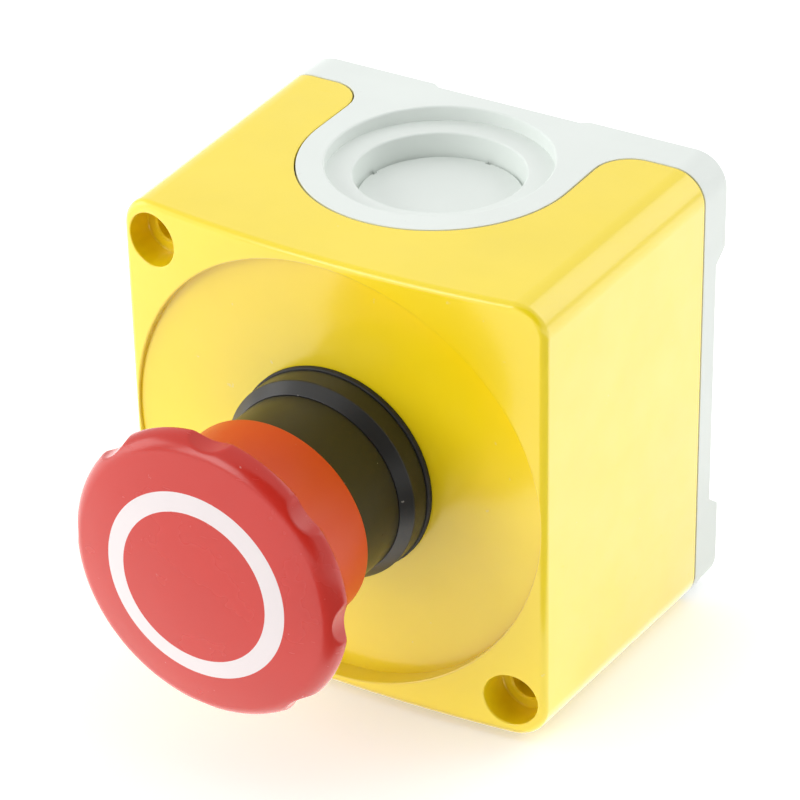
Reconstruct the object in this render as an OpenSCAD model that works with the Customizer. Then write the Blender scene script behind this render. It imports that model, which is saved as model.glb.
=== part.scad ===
// Emergency stop push button in a surface-mounted enclosure, sizes in millimetres.
// World axes: +X right, +Z up, the front looks along -Y, and the wall is the plane Y = 0.
// Pieces are drawn in housing axes, x right, y up and z forward from the wall,
// and forward() turns them into the world axes.

/* [Enclosure] */
// Width across the joint line of base and cover
joint_w = 65.2; // [64:0.2:76]
// Height across the joint line
joint_h = 66.4; // [66:0.2:78]
// Height of the base's visible rim above the wall
rim_z = 6; // [5.6:0.2:8]
// Distance of the cover's straight front edges from the wall
cover_z = 46; // [44.5:0.5:56]
// Bulge of the front face beyond those edges
bulge = 2.5; // [1.6:0.1:3.4]
// Draft of the walls, in mm for each mm of depth
draft = 0.024; // [0.01:0.002:0.03]
// Radius of the four long corners
corner_r = 4.6; // [4:0.1:6]
// Rounding of the front edge
edge_r = 0.9; // [0.5:0.1:1.2]
// Wall thickness of the cover
cover_wall = 2.2; // [2:0.1:2.6]
// Wall thickness of the base
base_wall = 2.4; // [2:0.1:2.8]
// Width of the visible gap between cover and base
joint_gap = 0.2; // [0.1:0.05:0.4]
// Wall left between the round dish and the cover's side, at the dish floor
dish_margin = 0.85; // [0.6:0.05:6]
// Depth of the dish floor behind the straight front edges
dish_drop = 0.4; // [0.2:0.1:1]
// Thickness of the dish floor, which carries the button
panel_t = 2.6; // [2:0.1:3.5]

/* [Back of the base] */
// Depth of the recess that leaves the four corner feet
foot_h = 2.4; // [1:0.1:2.4]
// Half height of that recess at its floor
recess_half_h = 18.2; // [15:0.1:18.6]
// Depth of the shallow recesses at the top and bottom edges
notch_h = 0.75; // [0.4:0.05:1]
// Half width of the shallow recesses
notch_half_w = 11; // [8:0.5:13]

/* [Cable entries] */
// Radius of the tongue that carries a cable entry
tongue_r = 18.9; // [18:0.1:20]
// Height of the entry's axis above the wall
entry_z = 18.7; // [18:0.1:20]
// Radius of the fillets where the tongue meets the rim
tongue_fillet_r = 5.3; // [4:0.1:6]
// Radius of the shallow outer recess
seal_recess_r = 15.15; // [14:0.05:16]
// Depth of the shallow outer recess
seal_recess_h = 1.8; // [1.2:0.1:2]
// Radius of the well
well_r = 11.45; // [10:0.05:12]
// Depth of the well from the outer face down to the knock-out disc
well_h = 5.2; // [4.4:0.1:5.6]
// Thickness of the knock-out disc
disc_t = 1.5; // [1:0.1:2]

/* [Cover screws] */
// Distance of a screw from the side of the joint line
screw_in_x = 5.85; // [5.6:0.05:6.4]
// Distance of a screw from the top or bottom of the joint line
screw_in_y = 6.4; // [5.8:0.05:7]
// Radius of the counterbore in the front face
counterbore_r = 3.75; // [3.4:0.05:3.9]
// Depth of the counterbore below the straight front edges
counterbore_h = 3.8; // [3:0.1:5]
// Radius of the bore below the counterbore
screw_bore_r = 2.3; // [2.2:0.05:2.6]
// Radius of a screw's thread
screw_r = 1.45; // [1.2:0.05:1.6]
// Height above the wall of the seat under a screw's head
screw_seat_z = 17.5; // [16:0.5:22]

/* [Wall fixing] */
// Spacing of the fixing holes along X
fixing_w = 38; // [36:0.5:40]
// Spacing of the fixing holes along Z
fixing_h = 46; // [45.5:0.5:47]
// Radius of a fixing hole
fixing_r = 2.25; // [1.6:0.05:2.6]

/* [Button front] */
// Radius of the front ring
ring_r = 14.4; // [14.2:0.1:16]
// Width of the flat left on the front ring's nose
ring_nose_w = 0.1; // [0.1:0.05:0.4]
// Height of the front ring's straight side
ring_side_h = 3; // [2:0.1:4]
// Height of the front ring's chamfer
ring_chamfer_h = 1.5; // [1.2:0.1:2.5]
// Thickness of the panel gasket
panel_gasket_t = 0.8; // [0.5:0.1:1.2]
// How far the panel gasket shows past the front ring
panel_gasket_out = 0.3; // [0.1:0.05:0.5]
// Radius of the neck
neck_r = 12.95; // [12.6:0.05:13]
// Length of neck between the front ring and the skirt, button released
neck_shown = 9.45; // [8:0.05:12]
// Radius of the threaded barrel
barrel_r = 11.05; // [10.8:0.05:11.1]
// Radius of the hole in the dish floor
panel_hole_r = 11.25; // [11.2:0.05:11.4]

/* [Cap] */
// Largest radius of the cap
cap_r = 20; // [18:0.1:26]
// Radius of the skirt behind the cap
skirt_r = 14.35; // [14.1:0.05:14.6]
// Radius of the skirt's hollow
skirt_bore_r = 13.25; // [13.1:0.05:13.4]
// Length of the skirt
skirt_l = 13.4; // [12.6:0.1:16]
// Height of the cap from its rear lip to the middle of its face
cap_h = 5.25; // [4.8:0.05:6.5]
// Radius of the domed face
dome_r = 76; // [60:1:140]
// Rounding between the face and the side
cap_edge_r = 2.8; // [2:0.1:3.2]
// Number of finger scallops
scallops = 8; // [4:1:12]
// Radius of one scallop
scallop_r = 6.5; // [5:0.5:9]
// Depth of a scallop
scallop_depth = 0.65; // [0.4:0.05:1.2]
// Angle of the first scallop from the horizontal, in degrees
scallop_turn = -2.8; // [-22.5:0.1:22.5]
// Outer radius of the white ring
inlay_r_out = 13.14; // [12.5:0.02:15]
// Inner radius of the white ring
inlay_r_in = 10.57; // [8:0.02:12]
// Thickness of the white ring
inlay_t = 0.4; // [0.2:0.05:0.8]

/* [Button mechanism] */
// Travel of the button
travel = 5; // [3:0.25:5.5]
// Radius of the stem
stem_r = 4.92; // [4.6:0.01:5.2]
// Radial clearance of the stem in its guide
stem_clear = 0.08; // [0.04:0.01:0.1]
// Radius of the spring chamber in the neck
chamber_r = 8.6; // [8.4:0.05:9]
// How far a latch pin moves for each mm of button travel
latch_slope = 0.2; // [0.1:0.02:0.24]
// Radius of a latch pin
pin_r = 1.55; // [1.3:0.05:1.8]
// Length of a latch pin
pin_l = 3.2; // [2.8:0.1:3.4]
// Wire radius of the button spring
spring_wire_r = 0.55; // [0.4:0.05:0.7]
// Turns of the button spring
spring_turns = 7; // [5:1:9]

/* [Contact blocks] */
// Width of one contact block
block_w = 10; // [9.6:0.1:10.4]
// Height of one contact block
block_h = 38; // [37:0.5:40]
// Depth of one contact block
block_d = 16.5; // [16:0.1:17]
// Gap between the two blocks
block_gap = 0.2; // [0.1:0.05:0.5]
// Thickness of contact strips
strip_t = 0.8; // [0.6:0.05:0.9]
// Width of contact strips
strip_w = 4; // [3.6:0.1:4.4]
// Distance of a terminal screw from the block's end
terminal_in = 3.5; // [3.2:0.1:3.6]
// Air between closed contacts, which the model keeps so that they stay apart
contact_air = 0.05; // [0.02:0.01:0.1]

/* [Hidden] */
$fn = 96;

// Small overlap that makes a cut pass cleanly through a face.
eps = 0.01;
// Facets of an outline that is blended between two levels.
outline_fn = 40;

yellow = [0.97, 0.84, 0.16];
light_grey = [0.82, 0.84, 0.83];
red = [0.80, 0.20, 0.18];
orange_red = [0.83, 0.28, 0.12];
black = [0.12, 0.12, 0.11];
soft_black = [0.07, 0.07, 0.07];
white = [0.95, 0.95, 0.94];
steel = [0.70, 0.71, 0.73];
brass = [0.78, 0.62, 0.30];
copper = [0.80, 0.50, 0.34];
dark_grey = [0.33, 0.34, 0.36];

// Enclosure: layers of the wall, counted inwards from its outer face.
gasket_in = 1.2;
lip_gap = 0.15;
lip_in = cover_wall + lip_gap;
lip_t = 1.4;
base_in = lip_in + lip_t;
// How far the gasket and the inner lip reach past the joint line.
gasket_reach = 1.1;
lip_reach = 2.2;
// Highest level that the base's tongues, lips and gasket may reach.
tongue_top_z = cover_z - 4;
floor_t = 2.2;
floor_z = foot_h + floor_t;
recess_slant = 1.8;
pocket_half_h = recess_half_h + recess_slant + base_wall;
notch_slant = 1;
crown_r = (pow(half_w(cover_z), 2) + pow(bulge, 2)) / (2 * bulge);
cup_wall = 1.85;
score_w = 0.5;
score_h = 0.5;
tongue_over = 1.55;

// Screws and inserts of the cover.
screw_x = joint_w / 2 - screw_in_x;
screw_y = joint_h / 2 - screw_in_y;
tower_wall = 1.85;
tower_r = counterbore_r + tower_wall;
tower_wall_h = 3;
lower_tower_wall = 1.8;
lower_tower_r = screw_bore_r + lower_tower_wall;
counterbore_z = cover_z - counterbore_h;
tower_z = 13;
post_gap = 0.1;
post_z = tower_z - post_gap;
post_r = 3.3;
insert_r = 2.2;
insert_l = 6.9;
insert_groove_h = 1;
insert_groove_t = 0.25;
screw_clear = 0.15;
screw_tip_z = 5;
screw_tip_r = 0.4;
screw_tip_h = 1;
tip_gap = 0.5;
screw_seal_t = 0.5;
screw_head_r = screw_bore_r - screw_clear;
screw_head_h = 1.8;
driver_l = 3;
driver_w = 0.6;
driver_h = 1.1;
fixing_seat_z = 3.2;
fixing_seat_r = 4.4;

// Stations of the button along its axis, from the wall forward.
panel_z = cover_z - dish_drop;
dish_r = half_w(panel_z) - dish_margin;
panel_back_z = panel_z - panel_t;
flange_z = panel_z + panel_gasket_t;
ring_front_z = flange_z + ring_side_h + ring_chamfer_h;
lip_of_ring_t = 0.9;
// Clearances: of the ring on the neck, of the nut and washer on the barrel, along the axis,
// and between pieces that are glued or pressed together.
ring_clear = 0.05;
nut_clear = 0.03;
end_gap = 0.05;
glue_gap = 0.02;
ring_nose_r = neck_r + ring_clear + ring_nose_w;
flange_step = 0.4;
flange_r = neck_r + flange_step;
washer_t = 0.8;
washer_in = 0.2;
washer_teeth = 12;
tooth_l = 1;
tooth_w = 0.8;
nut_h = 4.8;
nut_r = 14.8;
nut_notches = 6;
nut_notch_l = 1.3;
nut_notch_w = 3.2;
nut_flange_h = 1.6;
nut_z = panel_back_z - washer_t - nut_h;
guide_floor_l = 3;
barrel_l = 12;
chamber_z = panel_back_z - guide_floor_l;
barrel_end_z = panel_back_z - barrel_l;
pin_above_end = 3.5;
pin_z = barrel_end_z + pin_above_end;
stem_proud = 1.8;
stem_end_z = barrel_end_z - stem_proud;
skirt_z = ring_front_z + neck_shown;
lip_z = skirt_z + skirt_l;
web_t = 2.25;
web_z = lip_z - web_t;
neck_stop_gap = 0.5;
neck_front_z = web_z - travel - neck_stop_gap;
neck_edge = 0.5;
seal_t = 1.8;
seal_bevel = 0.8;
seal_lip_t = 1;
seal_gap = 0.05;
spring_seat_z = chamber_z + seal_t;
flange_below_neck = 1;
flange_of_stem_z = neck_front_z - travel - flange_below_neck;
stem_flange_t = 1.8;
stem_seat_z = flange_of_stem_z + stem_flange_t;
stem_flange_r = chamber_r - 0.4;
stem_edge = 0.6;
hub_bore_r = stem_r + 0.5;
hub_r = hub_bore_r + 2;
skirt_edge = 0.4;
spigot_r = 12;
spigot_h = 1.4;
stem_front_gap = 0.1;
key_w = 2.6;
key_r = 12.4;
key_root = 0.6;
key_clear = 0.1;

// Cap profile: the edge rounding touches the dome from inside and the side from inside.
apex_z = lip_z + cap_h;
dome_c = apex_z - dome_r;
edge_c_r = cap_r - cap_edge_r;
edge_c_z = dome_c + sqrt(pow(dome_r - cap_edge_r, 2) - pow(edge_c_r, 2));
edge_start = atan2(edge_c_z - dome_c, edge_c_r);
lip_round_r = 0.3;
cap_rim_in = 2.4;
cap_hollow_h = 1.5;
cap_hollow_slant = 0.4;
cap_seat_w = 0.5;

// Latch: two spring-loaded pins follow a long taper on the stem.
pin_tip_r = 0.5;
pin_tip_l = pin_r - pin_tip_r;
pin_air = 0.1;
pin_clear = 0.08;
pin_rest_r = stem_r + pin_air;
taper_lead = 0.6;
taper_drop = latch_slope * (travel + 2 * taper_lead);
latch_coil_r = pin_r - 0.4;
latch_wire_r = 0.2;
latch_turns = 4;

// Adapter and contact blocks.
adapter_collar_h = 6;
adapter_collar_r = 13.2;
adapter_side = 1.9;
adapter_half_w = block_w + block_gap / 2 + adapter_side;
adapter_well_r = 9.2;
stem_to_block = 0.7;
block_top_z = stem_end_z - travel - stem_to_block;
block_z = block_top_z - block_d;
block_x = (block_w + block_gap) / 2;
block_skin = 1.5;
chamber_floor_z = block_z + block_skin;
chamber_half_w = 3.5;
chamber_in = 7.8;
chamber_half_h = block_h / 2 - chamber_in;
tenon_in = 0.8;
tenon_y = chamber_half_h - tenon_in;
tenon_size = [6, 2.4, 2];
adapter_end = 2.2;
adapter_half_h = tenon_y + adapter_end;
tenon_clear = 0.1;
plunger_w = 5;
plunger_h = 6;
plunger_clear = 0.08;
plunger_tip_z = stem_end_z - contact_air;
plunger_below = 0.8;
plunger_end_z = chamber_floor_z + travel + plunger_below;
contact_spring_r = 1.5;
contact_wire_r = 0.25;
contact_turns = 7;
spring_hole_r = contact_spring_r + 0.4;
pocket_r = 2;
pocket_l = 5.8;
rivet_in = 3.6;
rivet_y = chamber_half_h - rivet_in;
rivet_r = 1.2;
rivet_h = 0.5;
strip_reach_in = 5;
strip_in_y = chamber_half_h - strip_reach_in;
strip_root = 0.4;
strip_end_y = chamber_half_h - strip_root;
bridge_in = 2.4;
bridge_half_h = chamber_half_h - bridge_in;
terminal_y = block_h / 2 - terminal_in;
terminal_drop = 7.4;
terminal_z = block_top_z - terminal_drop;
terminal_top_z = terminal_z + strip_t;
nc_strip_z = terminal_z;
nc_bridge_z = nc_strip_z - 2 * rivet_h - contact_air - strip_t;
no_bridge_lift = 1.2;
no_bridge_z = nc_bridge_z + no_bridge_lift;
no_strip_z = no_bridge_z - travel - contact_air - 2 * rivet_h - strip_t;
pit_half_w = 3.4;
pit_reach_in = 2.9;
pit_in_y = terminal_y - pit_reach_in;
pit_reach_out = 2.6;
pit_out_y = terminal_y + pit_reach_out;
clamp_half_w = 2.6;
clamp_half_h = 2.2;
clamp_t = 1;
wire_gap = 2.7;
clamp_z = terminal_top_z + wire_gap;
wire_way_half_w = 1.9;
wire_way_h = 2.6;
terminal_screw_r = 1.35;
terminal_hole_r = 1.4;
terminal_tip_l = 2.6;
terminal_tip_r = 1.6;
terminal_tip_gap = 0.4;
terminal_head_r = 2.5;
terminal_head_h = 2;
terminal_slot_w = 0.8;
terminal_slot_h = 1;

function half_w(z) = joint_w / 2 - draft * max(0, z - rim_z);
function half_h(z) = joint_h / 2 - draft * max(0, z - rim_z);
function arc(cx, cy, r, from, to, n) =
    [for (i = [0:n]) let (a = from + (to - from) * i / n) [cx + r * cos(a), cy + r * sin(a)]];
function dome_z(r) = dome_c + sqrt(dome_r * dome_r - r * r);

// Turns housing axes into world axes.
module forward() {
    rotate([90, 0, 0]) children();
}

// Puts a copy at each of the two cover screws, which sit at opposite corners.
module at_cover_screws() {
    for (s = [-1, 1]) translate([s * screw_x, -s * screw_y, 0]) children();
}

module tube(r_out, r_in, h) {
    difference() {
        cylinder(r = r_out, h = h);
        translate([0, 0, -1]) cylinder(r = r_in, h = h + 2);
    }
}

// Thin slice of the enclosure's outline at one height, moved inwards by inset.
module outline_slice(z, inset) {
    r = max(0.6, corner_r - inset);
    translate([0, 0, z])
        linear_extrude(eps)
            offset(r = r, $fn = outline_fn)
                square([2 * (half_w(z) - inset - r), 2 * (half_h(z) - inset - r)], center = true);
}

// Solid block of the enclosure between two heights: straight up to the rim, then drafted.
module enclosure_block(inset, z_low, z_high) {
    hull()
        for (z = [z_low, max(z_low, rim_z), z_high]) outline_slice(z, inset);
}

// Everything behind the convex front face, lowered by drop.
module behind_crown(drop) {
    translate([0, joint_h, cover_z + bulge - crown_r])
        rotate([90, 0, 0]) cylinder(r = crown_r - drop, h = 2 * joint_h, $fn = 240);
}

// Cover as a solid: drafted walls, convex front face and a rounded front edge.
module cover_block() {
    hull()
        for (a = [0, 45, 90])
            intersection() {
                enclosure_block(edge_r * (1 - cos(a)), rim_z + joint_gap, cover_z + bulge + 2);
                behind_crown(edge_r * (1 - sin(a)));
            }
}

// Outline of the tongue in x and z, grown by g: a round front, straight sides and two fillets.
module tongue_outline(g) {
    translate([0, entry_z]) circle(r = tongue_r + g);
    translate([-tongue_r - g, 0]) square([2 * (tongue_r + g), entry_z]);
    for (s = [-1, 1]) scale([s, 1])
        difference() {
            translate([tongue_r + g - eps, 0]) square([tongue_fillet_r - g, rim_z + tongue_fillet_r]);
            translate([tongue_r + tongue_fillet_r, rim_z + tongue_fillet_r])
                circle(r = tongue_fillet_r - g);
        }
}

// Space that belongs to the base, grown by g: all below the joint line, and both tongues.
module base_region(g) {
    translate([-joint_w, -joint_h, -1]) cube([2 * joint_w, 2 * joint_h, rim_z + 1 + g]);
    for (s = [0, 1]) mirror([0, s, 0])
        translate([0, joint_h / 2 + 2, 0]) rotate([90, 0, 0])
            linear_extrude(well_h + disc_t + base_in + tongue_over) tongue_outline(g);
}

// Cable entry on both ends: children are drawn with z pointing out of the entry's mouth.
module at_entries() {
    for (s = [0, 1]) mirror([0, s, 0])
        translate([0, half_h(entry_z), entry_z]) rotate([-90, 0, 0]) children();
}

module back_recesses() {
    rotate([90, 0, 90])
        linear_extrude(joint_w + 2, center = true)
            polygon([[-recess_half_h - recess_slant, -eps], [recess_half_h + recess_slant, -eps],
                [recess_half_h, foot_h], [-recess_half_h, foot_h]]);
    for (s = [0, 1]) mirror([0, s, 0])
        translate([0, joint_h, 0]) rotate([90, 0, 0])
            linear_extrude(joint_h - recess_half_h - recess_slant)
                polygon([[-notch_half_w - notch_slant, -eps], [notch_half_w + notch_slant, -eps],
                    [notch_half_w, notch_h], [-notch_half_w, notch_h]]);
}

module fixing_places() {
    for (sx = [-1, 1], sy = [-1, 1]) translate([sx * fixing_w / 2, sy * fixing_h / 2, 0]) children();
}

module base_shell() {
    color(light_grey) forward()
    difference() {
        union() {
            // Walls with an inner lip that reaches under the cover.
            difference() {
                intersection() {
                    enclosure_block(0, 0, tongue_top_z);
                    base_region(0);
                }
                base_cavity();
            }
            difference() {
                intersection() {
                    enclosure_block(lip_in, base_wall, tongue_top_z);
                    base_region(lip_reach);
                }
                base_cavity();
            }
            // Cups around the wells.
            at_entries() translate([0, 0, -well_h - disc_t])
                cylinder(r = well_r + cup_wall, h = well_h + disc_t - 1);
            // Posts for the inserts and raised seats for the fixing screws.
            at_cover_screws() translate([0, 0, 1]) cylinder(r = post_r, h = post_z - 1);
            fixing_places() translate([0, 0, 1]) cylinder(r = fixing_seat_r, h = fixing_seat_z - 1);
        }
        at_entries() {
            translate([0, 0, -seal_recess_h]) cylinder(r = seal_recess_r, h = 3);
            translate([0, 0, -well_h]) cylinder(r = well_r, h = well_h);
            // Score line that lets the disc break out.
            rotate_extrude()
                polygon([[well_r - eps, eps - well_h], [well_r - score_w / 2, -well_h - score_h],
                    [well_r - score_w, eps - well_h]]);
        }
        at_cover_screws() {
            translate([0, 0, post_z - insert_l]) cylinder(r = insert_r, h = insert_l + 1);
            translate([0, 0, screw_tip_z - tip_gap]) cylinder(r = screw_r + screw_clear, h = post_z);
        }
        fixing_places() {
            translate([0, 0, -1]) cylinder(r = fixing_r, h = 8);
            translate([0, 0, fixing_seat_z]) cylinder(r = fixing_seat_r, h = 4);
        }
        back_recesses();
    }
}

// Hollow of the base, with deeper pockets over the feet.
module base_cavity() {
    difference() {
        enclosure_block(base_in, base_wall, cover_z);
        translate([-joint_w, -pocket_half_h, 0]) cube([2 * joint_w, 2 * pocket_half_h, floor_z]);
    }
}

module cover_shell() {
    color(yellow) forward()
    difference() {
        cover_block();
        // Hollow of the cover, which leaves the two screw towers standing in its corners.
        difference() {
            enclosure_block(cover_wall, rim_z - 1, panel_back_z);
            at_cover_screws() {
                translate([0, 0, tower_z]) cylinder(r = lower_tower_r, h = panel_z - tower_z);
                translate([0, 0, counterbore_z - tower_wall_h])
                    cylinder(r = tower_r, h = counterbore_h + tower_wall_h);
            }
        }
        base_region(joint_gap);
        // Rebate that holds the gasket.
        intersection() {
            enclosure_block(gasket_in, rim_z - 1, tongue_top_z - 1);
            base_region(gasket_reach);
        }
        translate([0, 0, panel_z]) cylinder(r = dish_r, h = 2 * bulge + dish_drop, $fn = 180);
        translate([0, 0, panel_back_z - 1]) cylinder(r = panel_hole_r, h = panel_t + 2);
        translate([-key_w / 2 - key_clear, 0, panel_back_z - 1])
            cube([key_w + 2 * key_clear, key_r + key_clear, panel_t + 2]);
        at_cover_screws() {
            translate([0, 0, counterbore_z]) cylinder(r = counterbore_r, h = counterbore_h + 2 * bulge);
            translate([0, 0, screw_seat_z]) cylinder(r = screw_bore_r, h = cover_z);
            cylinder(r = screw_r + screw_clear, h = cover_z);
        }
    }
}

// Rubber band in the cover's rebate that follows the joint line and both tongues.
module cover_gasket() {
    color(soft_black) forward()
    difference() {
        intersection() {
            enclosure_block(gasket_in, rim_z, tongue_top_z - 1);
            base_region(gasket_reach);
        }
        enclosure_block(cover_wall, rim_z - 1, tongue_top_z);
        base_region(0);
    }
}

module cover_screws() {
    head_z = screw_seat_z + screw_seal_t;
    color(steel) forward() at_cover_screws()
    difference() {
        union() {
            translate([0, 0, screw_tip_z + screw_tip_h]) cylinder(r = screw_r, h = head_z - screw_tip_z);
            translate([0, 0, screw_tip_z]) cylinder(r1 = screw_tip_r, r2 = screw_r, h = screw_tip_h);
            translate([0, 0, head_z]) cylinder(r = screw_head_r, h = screw_head_h);
        }
        // Cross recess for the driver.
        for (a = [0, 90]) rotate([0, 0, a])
            translate([-driver_l / 2, -driver_w / 2, head_z + screw_head_h - driver_h])
                cube([driver_l, driver_w, 2 * driver_h]);
    }
}

module screw_seals() {
    color(soft_black) forward() at_cover_screws()
    translate([0, 0, screw_seat_z]) tube(screw_head_r, screw_r, screw_seal_t);
}

module screw_inserts() {
    color(brass) forward() at_cover_screws()
    difference() {
        translate([0, 0, post_z - insert_l]) tube(insert_r, screw_r, insert_l);
        translate([0, 0, post_z - insert_l / 2 - insert_groove_h / 2])
            tube(insert_r + 1, insert_r - insert_groove_t, insert_groove_h);
    }
}

module front_ring() {
    color(black) forward()
    rotate_extrude()
        polygon([[flange_r + ring_clear, flange_z], [ring_r, flange_z],
            [ring_r, ring_front_z - ring_chamfer_h], [ring_nose_r, ring_front_z],
            [neck_r + ring_clear, ring_front_z], [neck_r + ring_clear, ring_front_z - lip_of_ring_t],
            [flange_r + ring_clear, ring_front_z - lip_of_ring_t]]);
}

module panel_gasket() {
    color(soft_black) forward()
    translate([0, 0, panel_z]) tube(ring_r + panel_gasket_out, barrel_r + nut_clear, panel_gasket_t);
}

// Neck and threaded barrel in one moulding, with the stem guide and the latch's pin holes.
module actuator_body() {
    color(black) forward()
    difference() {
        union() {
            rotate_extrude()
                polygon([[stem_r + stem_clear, barrel_end_z], [barrel_r - neck_edge, barrel_end_z],
                    [barrel_r, barrel_end_z + neck_edge], [barrel_r, flange_z], [flange_r, flange_z],
                    [flange_r, ring_front_z - lip_of_ring_t - end_gap],
                    [neck_r, ring_front_z - lip_of_ring_t - end_gap], [neck_r, neck_front_z - neck_edge],
                    [neck_r - neck_edge, neck_front_z], [chamber_r, neck_front_z],
                    [chamber_r, chamber_z], [stem_r + stem_clear, chamber_z]]);
            // Key that stops the barrel from turning in the panel hole.
            translate([-key_w / 2, barrel_r - key_root, panel_back_z + key_clear])
                cube([key_w, key_r - barrel_r + key_root, panel_t - 2 * key_clear]);
        }
        for (s = [-1, 1])
            translate([0, 0, pin_z]) rotate([0, s * 90, 0]) cylinder(r = pin_r + pin_clear, h = barrel_r + 1);
    }
}

module lock_washer() {
    color(steel) forward()
    difference() {
        translate([0, 0, panel_back_z - washer_t])
            tube(nut_r - washer_in, barrel_r + nut_clear, washer_t);
        // Gaps between the teeth round its edge.
        for (i = [0:washer_teeth - 1]) rotate([0, 0, (i + 0.5) * 360 / washer_teeth])
            translate([nut_r - washer_in - tooth_l, -tooth_w / 2, panel_back_z - 2 * washer_t])
                cube([2 * tooth_l, tooth_w, 3 * washer_t]);
    }
}

module ring_nut() {
    color(dark_grey) forward()
    difference() {
        translate([0, 0, nut_z]) tube(nut_r, barrel_r + nut_clear, nut_h);
        // Notches for a ring-nut spanner, below a plain flange.
        for (i = [0:nut_notches - 1]) rotate([0, 0, i * 360 / nut_notches])
            translate([nut_r - nut_notch_l, -nut_notch_w / 2, nut_z - 1])
                cube([2 * nut_notch_l, nut_notch_w, nut_h - nut_flange_h + 1]);
    }
}

module shaft_seal() {
    color(soft_black) forward()
    rotate_extrude()
        polygon([[stem_r + seal_gap, chamber_z], [chamber_r - seal_gap, chamber_z],
            [chamber_r - seal_gap, spring_seat_z], [stem_r + seal_lip_t, spring_seat_z],
            [stem_r + seal_gap, spring_seat_z - seal_bevel]]);
}

// Domed mushroom head with a rounded edge, a hollow rear face and finger scallops.
module cap_head() {
    dome = [for (i = [0:10]) let (r = i / 10 * dome_r * cos(edge_start)) [r, dome_z(r)]];
    edge = arc(edge_c_r, edge_c_z, cap_edge_r, edge_start, 0, 10);
    lip = arc(cap_r - lip_round_r, lip_z + lip_round_r, lip_round_r, 0, -90, 3);
    rear = [[cap_r - cap_rim_in, lip_z], [cap_r - cap_rim_in - cap_hollow_slant, lip_z + cap_hollow_h],
        [skirt_r + cap_seat_w + cap_hollow_slant, lip_z + cap_hollow_h],
        [skirt_r + cap_seat_w, lip_z], [spigot_r + glue_gap, lip_z],
        [spigot_r + glue_gap, lip_z + spigot_h], [0, lip_z + spigot_h]];
    color(red) forward()
    difference() {
        rotate_extrude() polygon(concat(dome, [for (i = [1:10]) edge[i]], lip, rear));
        for (i = [0:scallops - 1]) rotate([0, 0, scallop_turn + i * 360 / scallops])
            translate([cap_r + scallop_r - scallop_depth, 0, lip_z - cap_h])
                cylinder(r = scallop_r, h = 3 * cap_h);
        ring_band(1, glue_gap);
    }
}

// A band of the dome, inlay_t deep, whose outer face stands proud of the dome by `proud` and whose
// other faces are grown by `gap`.
module ring_band(proud, gap) {
    n = 6;
    radii = [for (i = [0:n]) inlay_r_in - gap + (inlay_r_out - inlay_r_in + 2 * gap) * i / n];
    rotate_extrude()
        polygon(concat([for (r = radii) [r, dome_z(r) + proud]],
            [for (i = [n:-1:0]) [radii[i], dome_z(radii[i]) - inlay_t - gap]]));
}

module ring_inlay() {
    color(white) forward() ring_band(0, 0);
}

// Tube behind the cap that hides the neck, with a web and a hub for the stem.
module cap_skirt() {
    color(orange_red) forward()
    rotate_extrude()
        polygon([[skirt_bore_r, skirt_z], [skirt_r - skirt_edge, skirt_z],
            [skirt_r, skirt_z + skirt_edge], [skirt_r, lip_z], [spigot_r, lip_z],
            [spigot_r, lip_z + spigot_h], [hub_bore_r, lip_z + spigot_h], [hub_bore_r, stem_seat_z],
            [hub_r, stem_seat_z], [hub_r, web_z], [skirt_bore_r, web_z]]);
}

// Stem from the cap to the contact blocks, with a spring flange and the latch taper.
module push_stem() {
    color(dark_grey) forward()
    rotate_extrude()
        polygon([[0, stem_end_z], [stem_r - stem_edge, stem_end_z], [stem_r, stem_end_z + stem_edge],
            [stem_r, pin_z - taper_lead], [stem_r - taper_drop, pin_z + travel + taper_lead],
            [stem_r, pin_z + travel + taper_lead + taper_drop], [stem_r, flange_of_stem_z],
            [stem_flange_r, flange_of_stem_z], [stem_flange_r, stem_seat_z],
            [hub_bore_r - glue_gap, stem_seat_z],
            [hub_bore_r - glue_gap, lip_z + spigot_h - stem_front_gap],
            [0, lip_z + spigot_h - stem_front_gap]]);
}

// Round wire wound along z from z_low to z_high, its outline a polygon of `sides` corners.
module coil(r, wire_r, z_low, z_high, turns, steps, sides) {
    n = turns * steps;
    rise = z_high - z_low - 2 * wire_r;
    points = [for (i = [0:n], k = [0:sides - 1])
        let (a = 360 * i / steps, b = 360 * k / sides, q = r + wire_r * cos(b))
            [q * cos(a), q * sin(a), z_low + wire_r + rise * i / n + wire_r * sin(b)]];
    side_faces = [for (i = [0:n - 1], k = [0:sides - 1], half = [0, 1])
        let (m = (k + 1) % sides, a = i * sides, b = a + sides)
            half == 0 ? [a + k, a + m, b + m] : [a + k, b + m, b + k]];
    start = [[for (k = [sides - 1:-1:0]) k]];
    end = [[for (k = [0:sides - 1]) n * sides + k]];
    polyhedron(points, concat(side_faces, start, end), convexity = 6);
}

module button_spring() {
    color(steel) forward()
    coil((stem_r + chamber_r) / 2, spring_wire_r, spring_seat_z, flange_of_stem_z, spring_turns, 14, 6);
}

// Children are drawn along z from the stem's axis outwards; side is -1 for left, 1 for right.
module at_latch(side) {
    forward() translate([0, 0, pin_z]) rotate([0, side * 90, 0]) children();
}

module latch_pin(side) {
    color(steel) at_latch(side)
    translate([0, 0, pin_rest_r]) {
        cylinder(r1 = pin_tip_r, r2 = pin_r, h = pin_tip_l);
        translate([0, 0, pin_tip_l]) cylinder(r = pin_r, h = pin_l - pin_tip_l);
    }
}

module latch_spring(side) {
    color(steel) at_latch(side)
    coil(latch_coil_r, latch_wire_r, pin_rest_r + pin_l, barrel_r + nut_clear, latch_turns, 12, 6);
}

module latch_pin_left() latch_pin(-1);
module latch_pin_right() latch_pin(1);
module latch_spring_left() latch_spring(-1);
module latch_spring_right() latch_spring(1);

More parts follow.
